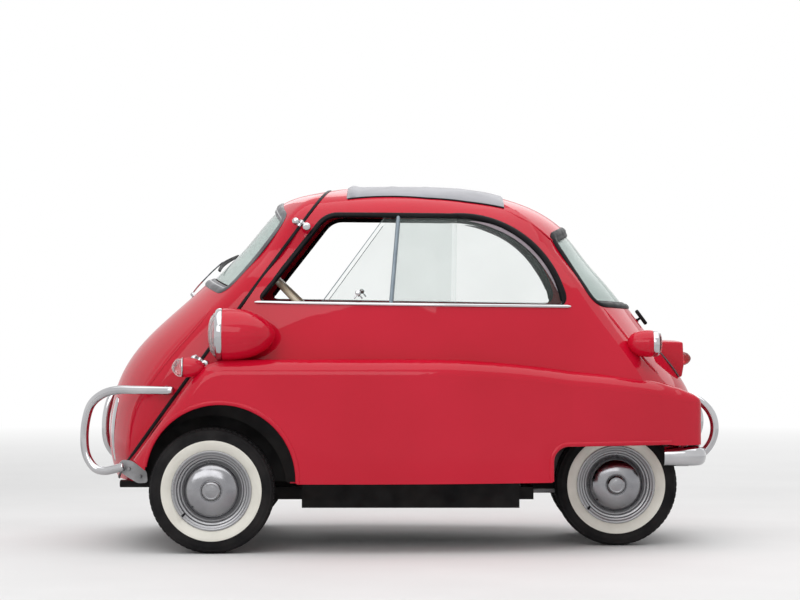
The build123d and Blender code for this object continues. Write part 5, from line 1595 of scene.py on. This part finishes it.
def bar(name, path, radius=BAR_RADIUS):
    """A round-nosed bar: two short steps are put in at each end for the nose."""
    first, last = ((inner - tip).normalized() * radius
                   for tip, inner in ((path[0], path[1]), (path[-1], path[-2])))
    path = ([path[0], path[0] + first * 0.15, path[0] + first * 0.45] + path[1:-1]
            + [path[-1] + last * 0.45, path[-1] + last * 0.15, path[-1]])
    return tube(name, path, nosed(len(path), radius), around=24)


def guard_foot(x, z, radius):
    """A post from the skin out to the left guard's bar, flared on the skin."""
    spot, _ = on_skin((x, -3, z), (0, 1, 0), -0.002)
    length = spot.y - guard_y(x)
    profile = [(0, radius * 1.7), (0.004, radius * 1.6), (0.009, radius), (length, radius), (length, 0),
               (0, 0)]
    return lathe("guard_foot", profile, spot, (0, -1, 0), 24)


def guard_bracket():
    """The left guard's lower bracket, a plate in the guard's own plane, with its two bolts."""
    outline = rounded(BRACKET, BRACKET_ROUND)
    plate = loft("guard_bracket", [[(x, guard_y(x) + away, z) for x, z in outline]
                                   for away in (BRACKET_IN, BRACKET_IN + BRACKET_THICK)])
    bolts = [lathe("bolt", scaled(BOLT), (x, guard_y(x) + BRACKET_IN, z), BOLT_WAY, 6)
             for x, z in BRACKET_BOLTS]
    return joined("guard_bracket", [plate] + bolts)


STRIP_Y, STRIP_HALF, STRIP_LOW, STRIP_HIGH = 0.235, 0.022, 0.314, 0.555
STRIP_SECTION = ((-1, -0.001), (-0.96, 0.002), (-0.7, 0.0046), (0, 0.0062), (0.7, 0.0046), (0.96, 0.002),
                 (1, -0.001))


def guard_strip(side):
    """A plated strip on the door's nose, rounded across and drawn in at both ends."""
    middle, straight = (STRIP_LOW + STRIP_HIGH) / 2, (STRIP_HIGH - STRIP_LOW) / 2 - STRIP_HALF
    rings = []
    for z in np.linspace(STRIP_LOW, STRIP_HIGH, 40):
        past = max(0, abs(z - middle) - straight) / STRIP_HALF
        half = STRIP_HALF * max(0.02, math.sqrt(max(0, 1 - past**2)))
        rings.append([on_skin((-3, SIDES[side] * STRIP_Y + across * half, z), (1, 0, 0), out)[0]
                      for across, out in STRIP_SECTION])
    return loft("guard_strip", rings)


guard_bar = bar("guard_bar", through([(x, guard_y(x), z) for x, z in GUARD_SIDE]))
left_guard = joined("guard", [guard_bar] + [guard_foot(*foot) for foot in GUARD_FEET])
for side, flip in (("left", lambda mesh: mesh), ("right", mirrored)):
    piece("front_guard_" + side, joined("front_guard", [flip(left_guard), guard_strip(side)]), "chrome",
          "door", stands_for="front_guards")
    piece("guard_bracket_" + side, flip(guard_bracket()), "cast_grey", "door")

# %% [markdown]
# The rear bumper's blade is rolled sheet: crowned across, with both long edges turned in. One section is
# carried round the blade's line seen from above.

# %% Rear bumper
BLADE_X, BLADE_HALF, BLADE_WRAP_X, BLADE_BEND = 1.122, 0.384, 0.986, 0.0945
BLADE_SECTION = [(-0.002, 0.3065), (0.006, 0.3055), (0.014, 0.3085), (0.0215, 0.317), (0.0255, 0.329),
                 (0.0268, 0.341), (0.0255, 0.353), (0.0215, 0.365), (0.014, 0.3735), (0.006, 0.3765),
                 (-0.002, 0.3755), (0.008, 0.369), (0.0175, 0.358), (0.0215, 0.341), (0.0175, 0.324),
                 (0.008, 0.313)]


BEND_STEPS = 20
REAR_BAR_Y, REAR_BAR_ARC = 0.282, ((1.040, 0.560), (1.1848, 0.435), (1.110, 0.330))


def blade():
    """The blade's section carried round its line, which runs straight, bends, and turns forward."""
    corners = [(BLADE_WRAP_X, -BLADE_HALF), (BLADE_X, -BLADE_HALF), (BLADE_X, BLADE_HALF),
               (BLADE_WRAP_X, BLADE_HALF)]
    bends = rounded(corners, BLADE_BEND, BEND_STEPS)[BEND_STEPS:3 * BEND_STEPS]
    line = [Vector(p) for p in [corners[0]] + bends + [corners[-1]]]
    rings = []
    for i, here in enumerate(line):
        run = (line[min(i + 1, len(line) - 1)] - line[max(i - 1, 0)]).normalized()
        out = Vector((run.y, -run.x))
        rings.append([(*(here + out * away), z) for away, z in BLADE_SECTION])
    return loft("bumper_blade", rings)


def rear_bar(sign):
    """The bent bar on one side of the tail, between the panel and the blade."""
    path = [(x, sign * REAR_BAR_Y, z) for x, z in arc_through(*REAR_BAR_ARC, 40)]
    return tube("rear_bar", path, BAR_RADIUS, around=24)


rear_bars = [rear_bar(sign) for sign in SIDES.values()]
piece("rear_bumper_bars", joined("rear_bumper_bars", [blade()] + rear_bars), "chrome", "body",
      stands_for="rear_bumper")

# %% [markdown]
# ## Small fittings
# The door hangs on two plated hinges. Each has a ball-headed arm on the door and a barrel-headed one on
# the body, with a pin between them on the hinge line, so each half is turned and rides on its own side.

# %% Door hinges
HINGE_ENDS = (Vector((gap_x(0.702), -0.575, 0.702)), Vector((gap_x(1.208), -0.5, 1.208)))
HINGE_LINE = (HINGE_ENDS[1] - HINGE_ENDS[0]).normalized()
GAP_ACROSS = Vector((GAP_SLOPE, 0, -1)).normalized()
BALL = [(-17, 7.5), (-13, 9.5), (-11, 12.2), (-5, 13.4), (1, 13.4), (6, 11.6), (10, 8.2), (12.4, 4), (13, 0)]
BARREL = [(-14, 9), (-13, 12.5), (-12, 14.4), (8, 14.8), (10.6, 14), (12.2, 11), (12.8, 6), (13, 0)]
# The node's lid hinges lie past this place across the car
LID_SIDE_Y = 0.3
hinge_halves = {"door": [], "body": []}
for middle in HINGE_ENDS:
    for body, side, away, head in (("door", -1, 0.019, BALL), ("body", 1, 0.025, BARREL)):
        spot = middle + GAP_ACROSS * side * away + HINGE_LINE * side * 0.004
        root, normal = on_skin((spot.x, -3, spot.z), (0, 1, 0), -0.002)
        reach = (root.y - spot.y) * 1000
        profile = [(-reach, 0), (-reach, 13), (-reach + 4, 12.6), (-reach + 7, 7.5)] + head
        hinge_halves[body].append(lathe("hinge_arm", scaled(profile), spot, (0, -1, 0), 32))
        low, high = (-13, -0.5) if side < 0 else (0.5, 13)
        knuckle = [(low, 0), (low, 7.5), (low + 1, 8.6), (high - 1, 8.6), (high, 7.5), (high, 0)]
        hinge_halves[body].append(lathe("hinge_knuckle", scaled(knuckle), middle, HINGE_LINE, 32))
        hinge_halves[body].append(tube("hinge_web", [middle + HINGE_LINE * side * 0.0065, spot], 0.0062))
piece("door_hinge_balls", joined("door_hinge_balls", hinge_halves["door"]), "chrome", "door",
      stands_for="hinges_door")
lid_side = merged_copy("hinges_body")
bmesh.ops.delete(lid_side, geom=[v for v in lid_side.verts if v.co.y < LID_SIDE_Y], context="VERTS")
lid_hinges = mesh_from(lid_side, "lid_hinges")
piece("body_hinge_barrels", joined("body_hinge_barrels", hinge_halves["body"] + [lid_hinges]), "chrome",
      "body", stands_for="hinges_body")

# %% [markdown]
# The tail carries a folded box with a small red lamp, a grey rubber seam where the box meets the
# panel, and a black lift handle above it.

# %% Tail fittings
PLATE_BOX = [(0.958, 0.7665), (1.078, 0.762), (1.082, 0.675), (1.074, 0.629), (1.052, 0.629), (0.960, 0.742)]
BOX_HALF, BOX_EDGE = 0.150, 0.0065
BOX_LAMP = [(0, 0), (0, 26), (3, 27.5), (8, 27.4), (20, 25), (31, 20), (39, 12), (42.6, 5), (43.5, 0)]
BOX_LAMP_SPOT, BOX_LAMP_WAY = (1.0795, 0, 0.695), (1, 0, 0.02)
SEAM_TOP, SEAM_FOOT = 0.756, 0.630
GRIP_TOP, GRIP_MIDDLE, GRIP_LOW, GRIP_OFF, GRIP_RADIUS = 0.866, 0.842, 0.818, 0.021, 0.0072
STEM = [(-2, 0), (-2, 9.5), (2, 9), (4, 5), (20, 4.6), (20, 0)]


def on_tail(y, z, proud=0.0):
    """A place on the tail, seen square on from behind."""
    return on_skin((3, y, z), (-1, 0, 0), proud)


def bead(name, hits, radius, around=12, flat=1.0):
    """A bead along places on the skin, given with the ways outwards there."""
    return tube(name, [spot for spot, _ in hits], radius, around, flat, up=[way for _, way in hits])


def plate_box():
    """The folded box: its side outline carried across the car, with rounded edges."""
    plain = loft("plate_box", [[(x, y, z) for x, z in PLATE_BOX] for y in (-BOX_HALF, BOX_HALF)])
    work = bmesh.new()
    work.from_mesh(plain)
    bmesh.ops.bevel(work, geom=work.edges, offset=BOX_EDGE, segments=3, profile=0.5, affect="EDGES")
    return mesh_from(work, "plate_box")


piece("plate_box_shell", plate_box(), "paint_red", "body", stands_for="plate_box")
piece("plate_box_lamp", lathe("plate_box_lamp", scaled(BOX_LAMP), BOX_LAMP_SPOT, BOX_LAMP_WAY, 48),
      "lens_red", "body")
seams = [bead("box_seam", [on_tail(sign * (BOX_HALF + 0.0005), z, 0.001)
                           for z in np.linspace(SEAM_TOP, SEAM_FOOT, 40)], 0.0042, flat=0.7)
         for sign in SIDES.values()]
piece("plate_box_seams", joined("plate_box_seams", seams), "seal_grey", "body")
(top_spot, top_way), (low_spot, low_way) = on_tail(0, GRIP_TOP), on_tail(0, GRIP_LOW)
grip_way = (top_way + low_way).normalized()
grip = [top_spot.lerp(low_spot, share) + grip_way * GRIP_OFF for share in np.linspace(-0.06, 1.06, 12)]
stem = lathe("handle_stem", scaled(STEM), on_tail(0, GRIP_MIDDLE)[0], grip_way, 24)
piece("tail_lift_handle", joined("tail_lift_handle", [bar("grip", grip, GRIP_RADIUS), stem]),
      "rubber_black", "body", stands_for="tail_handle")

# %% [markdown]
# One wiper stands on the door below the windscreen. Its arm springs the blade onto the glass, so every
# point of it is found on the skin and lifted by its own height.

# %% Wiper
WIPER_CAP = [(-1, 0), (-1, 13), (2, 12.6), (3, 9), (13, 8.4), (15.5, 6), (16.4, 0)]
# Columns: across, height, off the glass
WIPER_ARM = ((0, 0.938, 0.012), (0.002, 0.960, 0.018), (0.004, 1.010, 0.022), (0.005, 1.050, 0.019),
             (0.005, 1.058, 0.015))
WIPER_MIDDLE, WIPER_HALF, WIPER_RISE = (0.005, 1.058), 0.150, 0.029
HOLDER_OFF, HOLDER_DROP, RUBBER_OFF = 0.0135, 0.004, 0.0058


def on_nose(y, z, proud=0.0):
    """A place on the nose, seen square on from the front."""
    return on_skin((-3, y, z), (1, 0, 0), proud)


wiper_cap = lathe("wiper_cap", scaled(WIPER_CAP), *on_nose(0, 0.937), 32)
wiper_arm = tube("wiper_arm", through([on_nose(*row)[0] for row in WIPER_ARM], 5), 0.0042, flat=0.6)
piece("wiper_arm", joined("wiper_arm", [wiper_cap, wiper_arm]), "chrome", "door")
holder, wipe = [], []
for share in np.linspace(-1, 1, 25):
    across, high = WIPER_MIDDLE[0] + share * WIPER_HALF, WIPER_MIDDLE[1] + share * WIPER_RISE
    holder.append(on_nose(across, high, HOLDER_OFF - HOLDER_DROP * abs(share)))
    wipe.append(on_nose(across, high, RUBBER_OFF))
wiper_blade = [bead("wiper_holder", holder, 0.0032, around=10),
               bead("wiper_rubber", wipe, 0.0038, around=10, flat=1.5)]
piece("wiper_blade", joined("wiper_blade", wiper_blade), "rubber_black", "door")
print("fittings made")

# %% [markdown]
# The side panels are pressed with a soft crease where the side turns into the roof and the tail. It is a low
# bead that only shows as a line of light.

# %% Creases and valves
ROOF_CREASE = [(0.395, 1.2600), (0.440, 1.2390), (0.489, 1.2130), (0.536, 1.1780), (0.582, 1.1380)]
DOOR_CREASE = [(-0.700, 0.8950), (-0.7124, 0.8800), (-0.779, 0.8020), (-0.8534, 0.7168), (-0.9295, 0.6167),
               (-0.9780, 0.5462), (-1.0000, 0.4700), (-1.0080, 0.3900)]
TAIL_CREASE = [(0.760, 0.8960), (0.800, 0.8480), (0.853, 0.7800), (0.9165, 0.7020), (0.968, 0.6480)]


def crease(line, side, radius):
    """A low bead along a line in side view, fading out at both ends."""
    sign = SIDES[side]
    hits = []
    for x, _, z in through([(x, 0, z) for x, z in line], 10):
        spot, normal, face, _ = skin_tree.ray_cast(Vector((x, sign * 3, z)), Vector((0, -sign, 0)))
        if spot is not None:
            hits.append((spot, smooth_normal(spot, face)))
    count = len(hits)
    wide = [radius * min(1, 0.12 + 4 * i / count, 0.12 + 4 * (count - 1 - i) / count) for i in range(count)]
    return bead("crease", hits, wide, flat=0.32)


on_each_side("panel_creases", lambda side: joined("panel_creases", [crease(ROOF_CREASE, side, 0.0085),
                                                                    crease(TAIL_CREASE, side, 0.010)]),
             "paint_red", "body")
on_each_side("door_crease", lambda side: crease(DOOR_CREASE, side, 0.011), "paint_red", "door")

VALVE = [(0, 0), (0, 4.2), (14, 3.8), (15, 4.6), (24, 4.4), (25.5, 3.4), (26, 0)]
# The valve's seat from the wheel's middle: along the car, outwards, up
VALVE_SEAT = (-0.09858, 0.040, -0.085095)
for word, _, body, axle_x, middle_y, outward in WHEELS:
    seat = (axle_x + VALVE_SEAT[0], middle_y + outward * VALVE_SEAT[1], AXLE_HEIGHT + VALVE_SEAT[2])
    piece("valve_" + word, lathe("valve", scaled(VALVE), seat, (-0.25, outward, -0.22), 16),
          "rubber_black", body)
print("creases and valves made")

# %% [markdown]
# The engine lid on the right breathes through pressed louvres. They are one small scoop repeated, so
# Geometry Nodes set a copy at each point of a row and give them the paint.

# %% Engine lid louvres
LOUVRE_TALL, LOUVRE_HALF, LOUVRE_PROUD = 0.128, 0.0070, 0.0065
LOUVRE_ROW = np.linspace(0.378, 0.542, 8)
LOUVRE_MIDDLE_Z = 0.495
LOUVRE_TURN = -0.22


def louvre_scoop():
    """One louvre: steep at its open side, and drawn in at its top and foot."""
    rows = []
    for share in np.linspace(-1, 1, 13):
        size = max(0.04, (1 - abs(share)**6)**0.5)
        w, h = LOUVRE_HALF * size, LOUVRE_PROUD * size
        section = [(-w, -0.0015), (-w * 0.8, h * 0.35), (-w * 0.3, h * 0.85), (w * 0.2, h),
                   (w * 0.62, h * 0.9), (w * 0.72, h * 0.5), (w * 0.66, -0.0015)]
        rows.append([(x, y, share * LOUVRE_TALL / 2) for x, y in section])
    return loft("louvre_scoop", rows)


def row_tree():
    """A node tree that sets a copy of an object at each point of a mesh."""
    tree, given, result = nodes_tree("louvre_row", (("Points", "Geometry"), ("Scoop", "Object"),
                                                    ("Paint", "Material")))
    info = tree.nodes.new("GeometryNodeObjectInfo")
    copies = tree.nodes.new("GeometryNodeInstanceOnPoints")
    wire(tree, (given["Points"], copies.inputs["Points"]), (given["Scoop"], info.inputs["Object"]),
         (info.outputs["Geometry"], copies.inputs["Instance"]))
    made_real(tree, copies.outputs["Instances"], given["Paint"], result)
    return tree


def louvres():
    """The row of scoops along the lid."""
    scoop = linked("louvre_pattern", moved(louvre_scoop(), Matrix.Rotation(LOUVRE_TURN, 4, "Z")))
    row = bpy.data.meshes.new("louvre_points")
    row.from_pydata([(x, fender_half(x), LOUVRE_MIDDLE_Z) for x in LOUVRE_ROW], [], [])
    made = from_nodes(linked("louvre_points", row), row_tree(),
                      {"Scoop": scoop, "Paint": finishes["paint_red"]})
    bpy.data.objects.remove(scoop)
    return smoothed(made)


louvre_mesh = louvres()
piece("engine_lid_louvres", louvre_mesh, "paint_red", "engine_lid")
print("louvres", len(louvre_mesh.polygons), "faces")

# %% [markdown]
# ## Soft parts
# The opening roof is coated cloth pulled tight over bows. It lies a few millimetres above the panel, is
# thicker at its front roll and drops onto the panel at its edges. So it is a thin closed sheet found from
# the skin by rays from above. A black bead seals each edge.

# %% Folding roof
ROOF_FRONT, ROOF_REAR = -0.1975, 0.388
ROOF_BOWS = (-0.03, 0.10, 0.23)
ROOF_CLOTH = 0.0035


def roof_half(x):
    """Half the cloth's width: it is drawn in towards the rear."""
    return float(np.interp(x, (ROOF_FRONT, 0.10, 0.25, ROOF_REAR), (0.412, 0.412, 0.386, 0.348)))


def roof_lift(x, y):
    """The cloth's outer side above the panel."""
    edge = min(1, (roof_half(x) - abs(y)) / 0.022)
    ends = min(1, (x - ROOF_FRONT) / 0.016, (ROOF_REAR - x) / 0.006)
    lift = 0.0072 + 0.0015 * max(math.exp(-((x - bow) / 0.016)**2) for bow in ROOF_BOWS)
    lift += 0.0085 * math.exp(-((x - ROOF_FRONT - 0.020) / 0.018)**2) * (0.55 + 0.45 * abs(y) / 0.412)
    return 0.0042 + (lift - 0.0042) * math.sqrt(max(0, edge)) * math.sqrt(max(0, ends))


def roof_cloth():
    xs = np.linspace(ROOF_FRONT, ROOF_REAR, 120)
    ys = np.linspace(-1, 1, 110)
    outer, inner = [], []
    for x in xs:
        for y in ys * roof_half(x):
            spot, normal = on_skin((x, y, 3), (0, 0, -1))
            lift = roof_lift(x, y)
            outer.append(spot + normal * lift)
            inner.append(spot + normal * (lift - ROOF_CLOTH))
    rows, columns = len(xs), len(ys)
    size = rows * columns
    faces = grid_faces(rows, columns)
    faces += [tuple(size + i for i in reversed(face)) for face in grid_faces(rows, columns)]
    border = list(range(columns)) + [r * columns + columns - 1 for r in range(1, rows)]
    border += [(rows - 1) * columns + c for c in range(columns - 2, -1, -1)]
    border += [r * columns for r in range(rows - 2, 0, -1)]
    faces += [(border[i], border[(i + 1) % len(border)], size + border[(i + 1) % len(border)],
               size + border[i]) for i in range(len(border))]
    return mesh_of("folding_roof_cloth", outer + inner, faces, sharp=math.radians(60))


roof_mesh = roof_cloth()
roof_piece = piece("folding_roof_cloth", roof_mesh, "vinyl_grey", "body", stands_for="folding_roof")
print("roof cloth, one side", round(sum(f.area for f in roof_mesh.polygons) / 2, 4), "square metres")
roof_beads = []
for sign in (-1, 1):
    hits = [on_skin((x, sign * (roof_half(x) + 0.003), 3), (0, 0, -1), 0.0015)
            for x in np.linspace(ROOF_FRONT + 0.004, ROOF_REAR, 90)]
    roof_beads.append(tube("roof_bead", [p for p, _ in hits], 0.0034, around=10, up=[n for _, n in hits]))
piece("folding_roof_beads", joined("folding_roof_beads", roof_beads), "rubber_black", "body")

# %% [markdown]
# The bench is one long foam cushion and one back pad in cloth. Each starts from a slightly smaller copy of
# its plain block, remeshed to even faces, and a cloth simulation blows it up like a balloon, which crowns
# the top and pulls the sides in. It is then kept within a few millimetres of the plain block.

# %% Bench
SWELL_CAP = 0.024
CUSHION_VOXEL = 0.0085
CORNER_ROUND = 0.022
PRESSURE, FRAMES = 4, 20
# How far past its plain block each pad may reach
SPARE_BELOW, SPARE_ABOVE = Vector((0.004, 0.004, 0.0)), Vector((0.004, 0.004, 0.004))
# Columns: node, how much smaller its block starts, fill
PADS = (("seat_cushion", (0.020, 0.022, 0.020), 0.8), ("seat_back", (0.020, 0.022, 0.022), 0.7))


def block_of(node_name, inset):
    """A smaller copy of a node's block, with rounded edges, and the block's own corners."""
    low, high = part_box(node_name)
    half = (high - low) / 2 - Vector(inset)
    middle = (high + low) / 2
    work = bmesh.new()
    bmesh.ops.create_cube(work, size=2)
    bmesh.ops.scale(work, vec=half, verts=work.verts)
    bmesh.ops.translate(work, vec=middle, verts=work.verts)
    bmesh.ops.bevel(work, geom=work.edges, offset=CORNER_ROUND, segments=4, profile=0.5, affect="EDGES")
    return mesh_from(work, node_name + "_block"), Vector(low), Vector(high)


def places_of(mesh):
    """The mesh's points as rows of numbers."""
    flat = np.zeros(len(mesh.vertices) * 3)
    mesh.vertices.foreach_get("co", flat)
    return flat.reshape(-1, 3)


def swollen(mesh, name):
    """The mesh remeshed evenly and blown up by a cloth simulation, each point's move capped."""
    body = linked(name + "_swelling", mesh)
    voxels = body.modifiers.new("even_faces", "REMESH")
    voxels.mode = "VOXEL"
    voxels.voxel_size = CUSHION_VOXEL
    even = applied(body)
    body.modifiers.clear()
    body.data = even
    before = places_of(even)
    cloth = body.modifiers.new("foam", "CLOTH")
    cloth.settings.use_pressure = True
    cloth.settings.uniform_pressure_force = PRESSURE
    cloth.settings.effector_weights.gravity = 0
    cloth.settings.quality = 4
    cloth.point_cache.frame_start = 1
    cloth.point_cache.frame_end = FRAMES
    for frame_number in range(1, FRAMES + 1):
        bpy.context.scene.frame_set(frame_number)
    move = places_of(applied(body)) - before
    length = np.linalg.norm(move, axis=1)[:, None]
    kept = before + move * np.minimum(1, SWELL_CAP / np.maximum(length, 1e-9))
    even.vertices.foreach_set("co", kept.ravel())
    body.modifiers.clear()
    bpy.context.scene.frame_set(1)
    finer = body.modifiers.new("finer", "SUBSURF")
    finer.levels = 1
    finer.render_levels = 1
    made = applied(body)
    bpy.data.objects.remove(body)
    made.shade_smooth()
    return made


for node_name, inset, fill in PADS:
    block, low, high = block_of(node_name, inset)
    padding = swollen(block, node_name)
    limits = tuple(low - SPARE_BELOW), tuple(high + SPARE_ABOVE)
    padding.vertices.foreach_set("co", np.clip(places_of(padding), *limits).ravel())
    made = piece(node_name + "_padding", padding, "seat_cloth", "body", stands_for=node_name)
    print(node_name, "faces", len(padding.polygons))

# %% Sizes and finish
def corners(box):
    return [[float(value) for value in corner] for corner in box]


{"cad": corners(cad_box), "visual": corners(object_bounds())}
